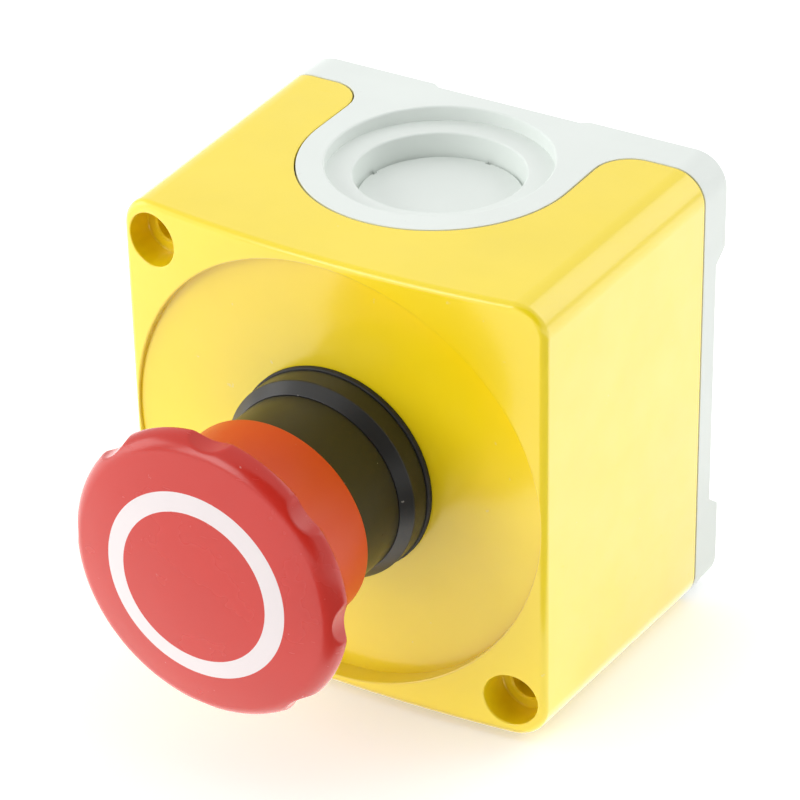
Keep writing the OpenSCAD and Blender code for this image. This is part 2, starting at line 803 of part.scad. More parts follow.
// Collar that closes the pin holes, on a frame that carries both contact blocks.
module contact_adapter() {
    color(dark_grey) forward()
    difference() {
        union() {
            translate([-adapter_half_w, -adapter_half_h, block_top_z])
                cube([2 * adapter_half_w, 2 * adapter_half_h, barrel_end_z - block_top_z]);
            translate([0, 0, barrel_end_z - 1]) cylinder(r = adapter_collar_r, h = adapter_collar_h + 1);
        }
        translate([0, 0, barrel_end_z]) cylinder(r = barrel_r + ring_clear, h = adapter_collar_h + 1);
        translate([0, 0, block_top_z - 1])
            cylinder(r = adapter_well_r, h = barrel_end_z - block_top_z + 2);
        for (sx = [-1, 1], sy = [-1, 1]) translate([sx * block_x, sy * tenon_y, 0])
            slab(tenon_size[0] / 2 + tenon_clear,
                [-tenon_size[1] / 2 - tenon_clear, tenon_size[1] / 2 + tenon_clear],
                [block_top_z - 1, block_top_z + tenon_size[2] + tenon_clear]);
    }
}

// Contact block: kind is 0 for normally closed and 1 for normally open.
function block_side(kind) = kind == 0 ? -1 : 1;
function strip_level(kind) = kind == 0 ? nc_strip_z : no_strip_z;
function bridge_level(kind) = kind == 0 ? nc_bridge_z : no_bridge_z;

module in_block(kind) {
    forward() translate([block_side(kind) * block_x, 0, 0]) children();
}

module both_ends() {
    for (s = [0, 1]) mirror([0, s, 0]) children();
}

// Box given by its half width, its span in y and its span in z.
module slab(half_width, y, z) {
    translate([-half_width, y[0], z[0]]) cube([2 * half_width, y[1] - y[0], z[1] - z[0]]);
}

module block_housing(kind) {
    color(kind == 0 ? [0.62, 0.16, 0.14] : [0.20, 0.42, 0.28]) in_block(kind)
    difference() {
        union() {
            slab(block_w / 2, [-block_h / 2, block_h / 2], [block_z, block_top_z]);
            both_ends() slab(tenon_size[0] / 2, [tenon_y - tenon_size[1] / 2, tenon_y + tenon_size[1] / 2],
                [block_top_z - 1, block_top_z + tenon_size[2]]);
        }
        // Chamber of the moving contact and the plunger's slot.
        slab(chamber_half_w, [-chamber_half_h, chamber_half_h],
            [chamber_floor_z, block_top_z - block_skin]);
        slab(plunger_w / 2 + plunger_clear,
            [-plunger_h / 2 - plunger_clear, plunger_h / 2 + plunger_clear],
            [block_top_z - 2 * block_skin, block_top_z + 1]);
        // Open chambers for the terminals, each with a slot for its strip and a way in for the wire.
        both_ends() {
            slab(pit_half_w, [pit_in_y, pit_out_y], [terminal_top_z, block_top_z + 1]);
            slab(strip_w / 2, [strip_in_y, terminal_y + clamp_half_h], [terminal_z, terminal_top_z]);
            slab(wire_way_half_w, [terminal_y, block_h], [terminal_top_z, terminal_top_z + wire_way_h]);
            translate([0, terminal_y, terminal_z - terminal_tip_l - terminal_tip_gap])
                cylinder(r = terminal_tip_r, h = terminal_tip_l + 1);
        }
    }
}

module block_plunger(kind) {
    level = bridge_level(kind);
    color(white) in_block(kind)
    difference() {
        slab(plunger_w / 2, [-plunger_h / 2, plunger_h / 2], [plunger_end_z, plunger_tip_z]);
        translate([0, 0, plunger_end_z - 1]) cylinder(r = pocket_r, h = pocket_l + 1);
        slab(strip_w / 2, [-plunger_h, plunger_h], [level, level + strip_t]);
    }
}

module block_bridge(kind) {
    level = bridge_level(kind);
    // The rivets face the fixed contacts: forward on a closed pair, towards the wall on an open one.
    rivet_z = kind == 0 ? level + strip_t : level - rivet_h;
    color(copper) in_block(kind)
    difference() {
        union() {
            slab(strip_w / 2, [-bridge_half_h, bridge_half_h], [level, level + strip_t]);
            both_ends() translate([0, rivet_y, rivet_z]) cylinder(r = rivet_r, h = rivet_h);
        }
        translate([0, 0, level - 1]) cylinder(r = spring_hole_r, h = strip_t + 2);
    }
}

module block_spring(kind) {
    color(steel) in_block(kind)
    coil(contact_spring_r, contact_wire_r, chamber_floor_z, plunger_end_z + pocket_l,
        contact_turns, 10, 6);
}

module fixed_contacts(kind) {
    level = strip_level(kind);
    rivet_z = kind == 0 ? level - rivet_h : level + strip_t;
    color(copper) in_block(kind) both_ends()
    difference() {
        union() {
            slab(strip_w / 2, [strip_in_y, strip_end_y], [level, level + strip_t]);
            // Riser from the contact's level to the terminal's level.
            slab(strip_w / 2, [strip_end_y - strip_t, strip_end_y], [level, terminal_top_z]);
            slab(strip_w / 2, [strip_end_y - strip_t, terminal_y + clamp_half_h],
                [terminal_z, terminal_top_z]);
            translate([0, rivet_y, rivet_z]) cylinder(r = rivet_r, h = rivet_h);
        }
        translate([0, terminal_y, terminal_z - 1]) cylinder(r = terminal_hole_r, h = strip_t + 2);
    }
}

module terminal_screws(kind) {
    head_z = clamp_z + clamp_t;
    color(steel) in_block(kind) both_ends() translate([0, terminal_y, 0])
    difference() {
        union() {
            translate([0, 0, terminal_z - terminal_tip_l])
                cylinder(r = terminal_screw_r, h = head_z - terminal_z + terminal_tip_l);
            translate([0, 0, head_z]) cylinder(r = terminal_head_r, h = terminal_head_h);
        }
        slab(2 * terminal_head_r, [-terminal_slot_w / 2, terminal_slot_w / 2],
            [head_z + terminal_head_h - terminal_slot_h, head_z + terminal_head_h + 1]);
    }
}

// Square plates that press a wire onto the strip.
module wire_clamps(kind) {
    color(steel) in_block(kind) both_ends()
    difference() {
        slab(clamp_half_w, [terminal_y - clamp_half_h, terminal_y + clamp_half_h],
            [clamp_z, clamp_z + clamp_t]);
        translate([0, terminal_y, clamp_z - clamp_t]) cylinder(r = terminal_hole_r, h = 3 * clamp_t);
    }
}

module nc_housing() block_housing(0);
module nc_plunger() block_plunger(0);
module nc_bridge() block_bridge(0);
module nc_spring() block_spring(0);
module nc_fixed_contacts() fixed_contacts(0);
module nc_terminal_screws() terminal_screws(0);
module nc_wire_clamps() wire_clamps(0);
module no_housing() block_housing(1);
module no_plunger() block_plunger(1);
module no_bridge() block_bridge(1);
module no_spring() block_spring(1);
module no_fixed_contacts() fixed_contacts(1);
module no_terminal_screws() terminal_screws(1);
module no_wire_clamps() wire_clamps(1);

base_shell();
cover_shell();
cover_gasket();
cover_screws();
screw_seals();
screw_inserts();
front_ring();
panel_gasket();
actuator_body();
lock_washer();
ring_nut();
shaft_seal();
cap_head();
cap_skirt();
ring_inlay();
push_stem();
button_spring();
latch_pin_left();
latch_pin_right();
latch_spring_left();
latch_spring_right();
contact_adapter();
nc_housing();
nc_plunger();
nc_bridge();
nc_spring();
nc_fixed_contacts();
nc_terminal_screws();
nc_wire_clamps();
no_housing();
no_plunger();
no_bridge();
no_spring();
no_fixed_contacts();
no_terminal_screws();
no_wire_clamps();
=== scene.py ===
"""Emergency stop push button on its enclosure: the looks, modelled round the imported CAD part."""

import logging
import math
from collections.abc import Callable, Iterable, Sequence
from dataclasses import dataclass, field
from enum import Enum

import bmesh
import bpy
from mathutils import Matrix, Vector


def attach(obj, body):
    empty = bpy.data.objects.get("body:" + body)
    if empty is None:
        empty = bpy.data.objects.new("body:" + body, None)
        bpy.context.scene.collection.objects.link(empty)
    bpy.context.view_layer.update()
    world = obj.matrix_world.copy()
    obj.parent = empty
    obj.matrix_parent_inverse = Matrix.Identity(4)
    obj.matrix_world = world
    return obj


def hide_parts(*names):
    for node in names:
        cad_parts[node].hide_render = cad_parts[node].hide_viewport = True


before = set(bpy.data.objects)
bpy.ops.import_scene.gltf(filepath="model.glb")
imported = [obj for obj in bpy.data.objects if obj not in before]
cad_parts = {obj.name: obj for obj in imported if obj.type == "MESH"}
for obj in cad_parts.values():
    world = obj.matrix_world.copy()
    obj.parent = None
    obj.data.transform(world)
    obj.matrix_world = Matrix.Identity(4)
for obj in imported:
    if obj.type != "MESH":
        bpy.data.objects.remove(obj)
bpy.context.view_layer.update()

logging.basicConfig(level=logging.INFO, format="%(levelname)s %(message)s")
log = logging.getLogger("push_button")

MM = 0.001
# Distances in mm: corners closer than the first are one, and two on one face differ by less than
# the second.
WELD = 1e-4
NEAR = 0.01
# Heights of a cutter's profile above FOLLOWS are counted from the outer face of the housing, which
# is drafted or convex, as FACE plus the height over it. PAST_FACE is well outside.
FOLLOWS, FACE, PAST_FACE = 50.0, 60.0, 66.0
# Housing axes (x right, y up, z forward from the wall, in mm) to the frame's axes in metres.
HOUSING_TO_WORLD = Matrix(((MM, 0, 0, 0), (0, 0, -MM, 0), (0, MM, 0, 0), (0, 0, 0, 1)))


class Body(Enum):
    """The bodies of the frame that pieces ride on."""

    ENCLOSURE = "enclosure"
    BUTTON = "button"


class Cut(Enum):
    """The ways in which one solid shapes another."""

    TAKE_AWAY = "DIFFERENCE"
    ADD = "UNION"
    KEEP_COMMON = "INTERSECT"


@dataclass(frozen=True)
class Corner:
    """One corner of an outline: two coordinates in mm, its rounding and the segments of that."""

    u: float
    v: float
    round: float = 0.0
    segments: int = 4


class Blank:
    """A piece of work in housing axes and millimetres, shaped with bmesh operators."""

    def __init__(self) -> None:
        """Start with no geometry."""
        self.bm = bmesh.new()

    @staticmethod
    def outline(corners: Sequence[Corner], upright: bool) -> "Blank":
        """Make a flat face whose corners are rounded.

        Args:
            corners: The outline's corners in order.
            upright: True puts u and v on x and z, False on x and y.

        Returns:
            The flat blank.
        """
        blank = Blank()
        bm = blank.bm
        verts = [bm.verts.new((c.u, 0, c.v) if upright else (c.u, c.v, 0)) for c in corners]
        bm.faces.new(verts)
        for vert, corner in zip(verts, corners):
            if corner.round > 0:
                bmesh.ops.bevel(bm, geom=[vert], offset=corner.round, offset_type="OFFSET",
                                segments=corner.segments, profile=0.5, affect="VERTICES",
                                clamp_overlap=False, material=-1)
        bmesh.ops.remove_doubles(bm, verts=bm.verts[:], dist=WELD)
        return blank

    @staticmethod
    def lathe(corners: Sequence[Corner], steps: int = 160) -> "Blank":
        """Turn a closed profile round the z axis.

        Args:
            corners: The profile, with the radius in u and the height in v.
            steps: Segments of the full turn.

        Returns:
            The turned solid.
        """
        blank = Blank.outline(corners, upright=True)
        bm = blank.bm
        bmesh.ops.delete(bm, geom=bm.faces[:], context="FACES_ONLY")
        for edge in [e for e in bm.edges if all(abs(v.co.x) < 1e-6 for v in e.verts)]:
            bm.edges.remove(edge)
        bmesh.ops.spin(bm, geom=bm.verts[:] + bm.edges[:], cent=(0, 0, 0), axis=(0, 0, 1),
                       dvec=(0, 0, 0), angle=2 * math.pi, steps=steps, use_merge=True)
        return blank.close()

    @staticmethod
    def prism(corners: Sequence[Corner], y_low: float, y_high: float) -> "Blank":
        """Push an outline in x and z along y.

        Args:
            corners: The outline, with x in u and z in v.
            y_low: Where the prism starts.
            y_high: Where it ends.

        Returns:
            The prism.
        """
        blank = Blank.outline(corners, upright=True)
        bm = blank.bm
        made = bmesh.ops.extrude_face_region(bm, geom=bm.faces[:])
        top = [g for g in made["geom"] if isinstance(g, bmesh.types.BMVert)]
        bmesh.ops.translate(bm, verts=bm.verts[:], vec=(0, y_low, 0))
        bmesh.ops.translate(bm, verts=top, vec=(0, y_high - y_low, 0))
        return blank.close()

    @staticmethod
    def box(low: tuple[float, float, float], high: tuple[float, float, float]) -> "Blank":
        """Make a box between two corners.

        Args:
            low: The lowest corner.
            high: The highest corner.

        Returns:
            The box.
        """
        blank = Blank()
        bmesh.ops.create_cube(blank.bm, size=1)
        middle = [(a + b) / 2 for a, b in zip(low, high)]
        size = [b - a for a, b in zip(low, high)]
        bmesh.ops.scale(blank.bm, verts=blank.bm.verts[:], vec=size)
        bmesh.ops.translate(blank.bm, verts=blank.bm.verts[:], vec=middle)
        return blank

    def close(self) -> "Blank":
        """Merge doubles and turn every face outwards."""
        bmesh.ops.remove_doubles(self.bm, verts=self.bm.verts[:], dist=WELD)
        bmesh.ops.recalc_face_normals(self.bm, faces=self.bm.faces[:])
        return self

    def placed(self, matrix: Matrix) -> "Blank":
        """Move the whole blank by a matrix."""
        bmesh.ops.transform(self.bm, matrix=matrix, verts=self.bm.verts[:])
        if matrix.determinant() < 0:
            bmesh.ops.reverse_faces(self.bm, faces=self.bm.faces[:])
        return self

    def copy(self) -> "Blank":
        """Give a second blank of the same shape."""
        other = Blank()
        other.bm = self.bm.copy()
        return other

    def moved(self, shift: Callable[[Vector], Vector]) -> "Blank":
        """Give each vertex a new place that is worked out from its old one."""
        for vert in self.bm.verts:
            vert.co = shift(vert.co)
        return self

    def bevelled(self, offset: float, segments: int,
                 chosen: Callable[[bmesh.types.BMEdge], bool], clamp: bool = True) -> "Blank":
        """Round the edges that a test picks.

        Args:
            offset: Width of the rounding.
            segments: Segments of the rounding.
            chosen: The test for an edge.
            clamp: Whether neighbouring roundings are kept from crossing.

        Returns:
            The same blank.
        """
        edges = [e for e in self.bm.edges if chosen(e)]
        bmesh.ops.bevel(self.bm, geom=edges, offset=offset, offset_type="OFFSET",
                        segments=segments, profile=0.5, affect="EDGES",
                        clamp_overlap=clamp, material=-1)
        return self

    def cut(self, tool: "Blank", how: Cut = Cut.TAKE_AWAY) -> "Blank":
        """Shape this solid with another one.

        Args:
            tool: The other solid.
            how: What happens where the two meet.

        Returns:
            The same blank, with its new shape.
        """
        work, cutter = self.as_object("work"), tool.as_object("cutter")
        step = work.modifiers.new("cut", "BOOLEAN")
        step.object = cutter
        step.operation = how.value
        step.solver = "EXACT"
        bpy.context.view_layer.update()
        mesh = bpy.data.meshes.new_from_object(
            work.evaluated_get(bpy.context.evaluated_depsgraph_get()))
        self.bm.clear()
        self.bm.from_mesh(mesh)
        for made in (work, cutter):
            old = made.data
            bpy.data.objects.remove(made)
            bpy.data.meshes.remove(old)
        bpy.data.meshes.remove(mesh)
        bmesh.ops.remove_doubles(self.bm, verts=self.bm.verts[:], dist=2 * WELD)
        bmesh.ops.dissolve_degenerate(self.bm, edges=self.bm.edges[:], dist=2 * WELD)
        return self

    def as_object(self, name: str) -> bpy.types.Object:
        """Put the blank into the scene as it is, in millimetres."""
        mesh = bpy.data.meshes.new(name)
        self.bm.to_mesh(mesh)
        made = bpy.data.objects.new(name, mesh)
        bpy.context.scene.collection.objects.link(made)
        return made

    def finished(self, name: str, sharp_above: float = 32.0) -> bpy.types.Object:
        """Turn the blank into a piece in the frame's axes and metres.

        Args:
            name: The piece's name.
            sharp_above: Angle in degrees past which an edge stays sharp.

        Returns:
            The piece's object, at the origin.
        """
        self.placed(HOUSING_TO_WORLD)
        limit = math.radians(sharp_above)
        for face in self.bm.faces:
            face.smooth = True
        for edge in self.bm.edges:
            edge.smooth = len(edge.link_faces) == 2 and edge.calc_face_angle(0.0) < limit
        made = self.as_object(name)
        self.bm.free()
        even = made.modifiers.new("even_shading", "WEIGHTED_NORMAL")
        even.keep_sharp = True
        even.weight = 80
        log.info("%s: %d faces", name, len(made.data.polygons))
        return made


class Recipe:
    """A material's node tree, with short calls to add and join nodes."""

    def __init__(self, name: str) -> None:
        """Start a material with its shader and object coordinates."""
        self.material = bpy.data.materials.new(name)
        self.material.use_nodes = True
        self.tree = self.material.node_tree
        self.shader = self.tree.nodes["Principled BSDF"]
        self.place = self.tree.nodes.new("ShaderNodeTexCoord").outputs["Object"]

    def node(self, kind: str, inputs: dict[str, object] | None = None,
             **settings: object) -> bpy.types.Node:
        """Add a node.

        Args:
            kind: The node's type, without its common prefix.
            inputs: Sockets to link, or values to set, by socket name.
            settings: Attributes of the node itself.

        Returns:
            The node.
        """
        made = self.tree.nodes.new("ShaderNode" + kind)
        for name, value in settings.items():
            setattr(made, name, value)
        for name, value in (inputs or {}).items():
            self.feed(made.inputs[name], value)
        return made

    def feed(self, socket: bpy.types.NodeSocket, value: object) -> None:
        """Link a socket to another one, or set its value."""
        if isinstance(value, bpy.types.NodeSocket):
            self.tree.links.new(value, socket)
        else:
            socket.default_value = value

    def noise(self, per_mm: float, detail: float = 2.0, stretch: Sequence[float] = (1, 1, 1),
              seed: float = 0.0) -> bpy.types.NodeSocket:
        """Give a noise pattern on the piece.

        Args:
            per_mm: Cells in a millimetre.
            detail: Octaves of the noise.
            stretch: Scale along each axis.
            seed: Shift that gives another pattern of the same kind.

        Returns:
            The noise's factor.
        """
        spot = self.node("Mapping", {"Vector": self.place, "Scale": tuple(stretch),
                                     "Location": (seed, seed * 0.7, seed * 1.3)})
        made = self.node("TexNoise", {"Vector": spot.outputs[0], "Scale": per_mm / MM,
                                      "Detail": detail, "Roughness": 0.55})
        return made.outputs["Fac"]

    def ramp(self, value: bpy.types.NodeSocket, low: float, high: float,
             to_low: float = 0.0, to_high: float = 1.0) -> bpy.types.NodeSocket:
        """Stretch a value from one range to another, held at its ends.

        Args:
            value: The value.
            low: Where it starts.
            high: Where it ends.
            to_low: What the start becomes.
            to_high: What the end becomes.

        Returns:
            The new value.
        """
        made = self.node("MapRange", {"Value": value, "From Min": low, "From Max": high,
                                      "To Min": to_low, "To Max": to_high})
        return made.outputs["Result"]

    def blend(self, share: bpy.types.NodeSocket | float, first: object,
              second: object) -> bpy.types.NodeSocket:
        """Mix two colours.

        Args:
            share: Share of the second colour.
            first: The first colour or socket.
            second: The second colour or socket.

        Returns:
            The mixed colour.
        """
        made = self.node("Mix", data_type="RGBA")
        self.feed(made.inputs[0], share)
        self.feed(made.inputs[6], first)
        self.feed(made.inputs[7], second)
        return made.outputs[2]

    def bump(self, height: bpy.types.NodeSocket, depth_mm: float, strength: float,
             under: bpy.types.NodeSocket | None = None) -> bpy.types.NodeSocket:
        """Raise a pattern from the surface.

        Args:
            height: The pattern.
            depth_mm: Its depth.
            strength: Share of the effect, up to 1.
            under: A bump that lies below this one.

        Returns:
            The normal.
        """
        made = self.node("Bump", {"Height": height, "Distance": depth_mm * MM,
                                  "Strength": strength})
        if under is not None:
            self.feed(made.inputs["Normal"], under)
        return made.outputs["Normal"]


def shade(colour: Sequence[float], factor: float) -> tuple[float, float, float, float]:
    """Make a colour lighter or darker by a factor."""
    return tuple(min(1.0, c * factor) for c in colour) + (1.0,)


@dataclass(frozen=True)
class MouldedPlastic:
    """Injection-moulded plastic: a fine eroded grain, faint flow mottling, dust and rubbed marks."""

    name: str
    colour: tuple[float, float, float]
    roughness: float = 0.4
    grain_per_mm: float = 3.2
    grain_mm: float = 0.02
    grain_strength: float = 0.35
    mottle: float = 0.05
    mottle_per_mm: float = 0.05
    dust: float = 0.35
    dust_per_mm: float = 0.55
    dust_colour: tuple[float, float, float] = (0.80, 0.78, 0.70)
    scratches: float = 0.25
    ior: float = 1.5
    polish: float = 0.0
    polish_roughness: float = 0.15

    def material(self) -> bpy.types.Material:
        """Build the finish as a material."""
        recipe = Recipe(self.name)
        shader = recipe.shader
        flow = recipe.ramp(recipe.noise(self.mottle_per_mm, 3.0), 0.3, 0.7)
        colour = recipe.blend(flow, shade(self.colour, 1 - self.mottle),
                              shade(self.colour, 1 + self.mottle * 0.5))
        specks = recipe.ramp(recipe.noise(self.dust_per_mm, 3.0, seed=3.1), 0.735, 0.77)
        colour = recipe.blend(recipe.ramp(specks, 0, 1, 0, self.dust), colour,
                              self.dust_colour + (1.0,))
        recipe.feed(shader.inputs["Base Color"], colour)
        marks = recipe.ramp(recipe.noise(0.9, 2.0, stretch=(0.12, 1.0, 1.6), seed=7.0), 0.70, 0.78)
        rubbed = recipe.noise(0.11, 3.0, seed=1.7)
        rough = recipe.ramp(rubbed, 0.3, 0.7, self.roughness - 0.05, self.roughness + 0.06)
        rough = recipe.node("Math", {0: rough, 1: recipe.ramp(marks, 0, 1, 0, 0.12)},
                            operation="ADD").outputs[0]
        recipe.feed(shader.inputs["Roughness"], rough)
        shader.inputs["IOR"].default_value = self.ior
        shader.inputs["Coat Weight"].default_value = self.polish
        shader.inputs["Coat Roughness"].default_value = self.polish_roughness
        grain = recipe.noise(self.grain_per_mm, 2.0, seed=5.0)
        normal = recipe.bump(grain, self.grain_mm, self.grain_strength)
        normal = recipe.bump(marks, 0.02, self.scratches, normal)
        recipe.feed(shader.inputs["Normal"], normal)
        return recipe.material


@dataclass(frozen=True)
class WorkedMetal:
    """Plated or bare metal: turning or drawing lines, uneven plating and small stains."""

    name: str
    colour: tuple[float, float, float]
    roughness: float = 0.3
    lines_per_mm: float = 5.0
    stain: float = 0.25

    def material(self) -> bpy.types.Material:
        """Build the finish as a material."""
        recipe = Recipe(self.name)
        shader = recipe.shader
        cloud = recipe.ramp(recipe.noise(0.35, 3.0, seed=2.0), 0.35, 0.7)
        colour = recipe.blend(cloud, shade(self.colour, 1.0), shade(self.colour, 1 - self.stain))
        recipe.feed(shader.inputs["Base Color"], colour)
        shader.inputs["Metallic"].default_value = 1.0
        recipe.feed(shader.inputs["Roughness"], recipe.ramp(
            cloud, 0, 1, self.roughness - 0.05, self.roughness + 0.15))
        lines = recipe.noise(self.lines_per_mm, 1.0, stretch=(1, 0.08, 1), seed=4.0)
        recipe.feed(shader.inputs["Normal"], recipe.bump(lines, 0.01, 0.3))
        return recipe.material


@dataclass(frozen=True)
class SealingRubber:
    """Black rubber with a dull, faintly dusty skin."""

    name: str
    colour: tuple[float, float, float] = (0.012, 0.012, 0.012)
    roughness: float = 0.62

    def material(self) -> bpy.types.Material:
        """Build the finish as a material."""
        recipe = Recipe(self.name)
        shader = recipe.shader
        bloom = recipe.ramp(recipe.noise(0.4, 4.0, seed=6.0), 0.4, 0.75)
        recipe.feed(shader.inputs["Base Color"],
                    recipe.blend(bloom, shade(self.colour, 1.0), shade(self.colour, 2.6)))
        recipe.feed(shader.inputs["Roughness"], recipe.ramp(
            bloom, 0, 1, self.roughness, self.roughness + 0.15))
        recipe.feed(shader.inputs["Normal"], recipe.bump(recipe.noise(6.0, 2.0), 0.01, 0.4))
        return recipe.material


@dataclass
class Finishes:
    """Every finish of the object, made once."""

    yellow: bpy.types.Material = field(init=False)
    light_grey: bpy.types.Material = field(init=False)
    black: bpy.types.Material = field(init=False)
    dark_grey: bpy.types.Material = field(init=False)
    red: bpy.types.Material = field(init=False)
    orange_red: bpy.types.Material = field(init=False)
    white_ink: bpy.types.Material = field(init=False)
    rubber: bpy.types.Material = field(init=False)
    steel: bpy.types.Material = field(init=False)
    spring: bpy.types.Material = field(init=False)
    brass: bpy.types.Material = field(init=False)
    copper: bpy.types.Material = field(init=False)
    red_block: bpy.types.Material = field(init=False)
    green_block: bpy.types.Material = field(init=False)
    white_plastic: bpy.types.Material = field(init=False)

    def __post_init__(self) -> None:
        """Build all materials."""
        self.yellow = MouldedPlastic("yellow_moulding", (0.92, 0.71, 0.004), roughness=0.36,
                                     dust=0.2, mottle=0.04, polish=0.8).material()
        self.light_grey = MouldedPlastic("light_grey_moulding", (0.77, 0.815, 0.78),
                                         roughness=0.48, mottle=0.03, dust=0.3,
                                         dust_colour=(0.45, 0.44, 0.42)).material()
        self.black = MouldedPlastic("black_moulding", (0.013, 0.013, 0.012), roughness=0.36,
                                    dust=0.35, dust_per_mm=0.8).material()
        self.dark_grey = MouldedPlastic("dark_grey_moulding", (0.035, 0.037, 0.04),
                                        roughness=0.45).material()
        self.red = MouldedPlastic("red_cap_moulding", (0.53, 0.022, 0.012), roughness=0.24,
                                  dust=0.45, dust_per_mm=0.7, grain_strength=0.45, scratches=0.06,
                                  dust_colour=(0.75, 0.45, 0.42)).material()
        self.orange_red = MouldedPlastic("orange_red_moulding", (0.67, 0.057, 0.004),
                                         roughness=0.38, dust=0.3).material()
        self.white_ink = MouldedPlastic("white_ring", (0.74, 0.675, 0.675), roughness=0.42,
                                        mottle=0.02, dust=0.1).material()
        self.red_block = MouldedPlastic("red_block_moulding", (0.36, 0.022, 0.018)).material()
        self.green_block = MouldedPlastic("green_block_moulding", (0.02, 0.17, 0.06)).material()
        self.white_plastic = MouldedPlastic("white_moulding", (0.78, 0.78, 0.74)).material()
        self.rubber = SealingRubber("sealing_rubber").material()
        self.steel = WorkedMetal("zinc_plated_steel", (0.62, 0.63, 0.65)).material()
        self.spring = WorkedMetal("spring_wire", (0.48, 0.49, 0.51), roughness=0.22).material()
        self.brass = WorkedMetal("insert_brass", (0.71, 0.50, 0.19)).material()
        self.copper = WorkedMetal("contact_copper", (0.76, 0.40, 0.24)).material()


def publish(made: bpy.types.Object, body: Body, nodes: Sequence[str],
            finish: bpy.types.Material) -> bpy.types.Object:
    """Dress a piece and hand it to the frame.

    Args:
        made: The piece.
        body: The body it rides on.
        nodes: The CAD nodes it stands for.
        finish: Its material.

    Returns:
        The same piece.
    """
    made.data.materials.clear()
    made.data.materials.append(finish)
    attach(made, body.value)
    if nodes:
        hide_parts(*nodes)
    log.info("%s rides on %s and stands for %s", made.name, body.value, ", ".join(nodes) or "itself")
    return made


@dataclass
class Housing:
    """The outer form that cover and base share: straight up to the rim, then drafted."""

    joint_w: float = 65.2
    joint_h: float = 66.4
    rim_z: float = 6.0
    cover_z: float = 46.0
    bulge: float = 2.5
    draft: float = 0.024
    corner_r: float = 4.6
    corner_steps: int = 12
    tongue_r: float = 18.9
    entry_z: float = 18.7
    fillet_r: float = 5.3
    screw_x: float = 26.75
    screw_y: float = 26.8

    def half_w(self, z: float) -> float:
        """Half the width at a height above the wall."""
        return self.joint_w / 2 - self.draft * max(0.0, z - self.rim_z)

    def half_h(self, z: float) -> float:
        """Half the height of the box at a height above the wall."""
        return self.joint_h / 2 - self.draft * max(0.0, z - self.rim_z)

    def crown(self, x: float) -> float:
        """Height of the convex front face at a place across it."""
        half = self.half_w(self.cover_z)
        radius = (half ** 2 + self.bulge ** 2) / (2 * self.bulge)
        return self.cover_z + self.bulge - radius + math.sqrt(max(0.0, radius ** 2 - x * x))

    def slab(self, z_low: float, z_high: float, inset: float) -> Blank:
        """Make one stretch of the box with rounded corners.

        Args:
            z_low: Where it starts.
            z_high: Where it ends.
            inset: How far its walls lie inside the outer form.

        Returns:
            The stretch as a closed solid.
        """
        blank = Blank.box((-1, -1, z_low), (1, 1, z_high))
        blank.moved(lambda p: Vector((p.x * (self.half_w(p.z) - inset),
                                      p.y * (self.half_h(p.z) - inset), p.z)))
        return blank.bevelled(max(0.6, self.corner_r - inset), self.corner_steps,
                              lambda e: abs(e.verts[0].co.z - e.verts[1].co.z) > 0.5, clamp=False)

    def block(self, inset: float, z_low: float, z_high: float) -> Blank:
        """Make the box between two heights, with its bend at the rim.

        Args:
            inset: How far its walls lie inside the outer form.
            z_low: Where it starts.
            z_high: Where it ends.

        Returns:
            The closed solid.
        """
        blank = self.slab(z_low, z_high, inset)
        if z_low < self.rim_z < z_high:
            bmesh.ops.bisect_plane(blank.bm, geom=blank.bm.verts[:] + blank.bm.edges[:]
                                   + blank.bm.faces[:], plane_co=(0, 0, self.rim_z),
                                   plane_no=(0, 0, 1))
            wide = (self.half_w(self.rim_z) - inset, self.half_h(self.rim_z) - inset)
            top = (self.half_w(z_high) - inset, self.half_h(z_high) - inset)
            share = (self.rim_z - z_low) / (z_high - z_low)
            grow = [wide[i] / (wide[i] + (top[i] - wide[i]) * share) for i in (0, 1)]
            rim = [v for v in blank.bm.verts if abs(v.co.z - self.rim_z) < 1e-4]
            bmesh.ops.scale(blank.bm, verts=rim, vec=(grow[0], grow[1], 1))
        return blank

    def region(self, grow: float) -> Blank:
        """Make the space that belongs to the base: all below the joint line, and the tongues.

        Args:
            grow: How far the space reaches past the joint line.

        Returns:
            A prism that runs through the whole box from bottom to top.
        """
        side, line = self.tongue_r + grow, self.rim_z + grow
        top = self.entry_z + side
        far = self.joint_w
        corners = [Corner(-far, -2), Corner(far, -2), Corner(far, line),
                   Corner(side, line, self.fillet_r - grow, 8),
                   Corner(side, top, side - 0.002, 48), Corner(-side, top, side - 0.002, 48),
                   Corner(-side, line, self.fillet_r - grow, 8), Corner(-far, line)]
        return Blank.prism(corners, -self.joint_h, self.joint_h)

    def at_cover_screws(self, blank: Blank) -> Iterable[Blank]:
        """Give a copy of a blank at each of the two cover screws."""
        for side in (-1, 1):
            yield blank.copy().placed(
                Matrix.Translation((side * self.screw_x, -side * self.screw_y, 0)))

    def at_entries(self, blank: Blank) -> Iterable[Blank]:
        """Give a copy at both cable entries of a blank whose z axis points out of the mouth.

        The blank's heights past FOLLOWS are counted from the drafted outer face, so that a
        rounding follows the face.
        """
        turn = Matrix(((1, 0, 0, 0), (0, 0, 1, 0), (0, -1, 0, self.entry_z), (0, 0, 0, 1)))
        base_y = self.half_h(self.entry_z)

        def settle(p: Vector) -> Vector:
            """Take a height back to the outer face if it's counted from there."""
            if p.y > FOLLOWS:
                return Vector((p.x, self.half_h(p.z) + p.y - FACE, p.z))
            return Vector((p.x, base_y + p.y, p.z))

        upper = blank.copy().placed(turn).moved(settle)
        yield upper
        yield upper.copy().placed(Matrix.Scale(-1, 4, (0, 1, 0)))


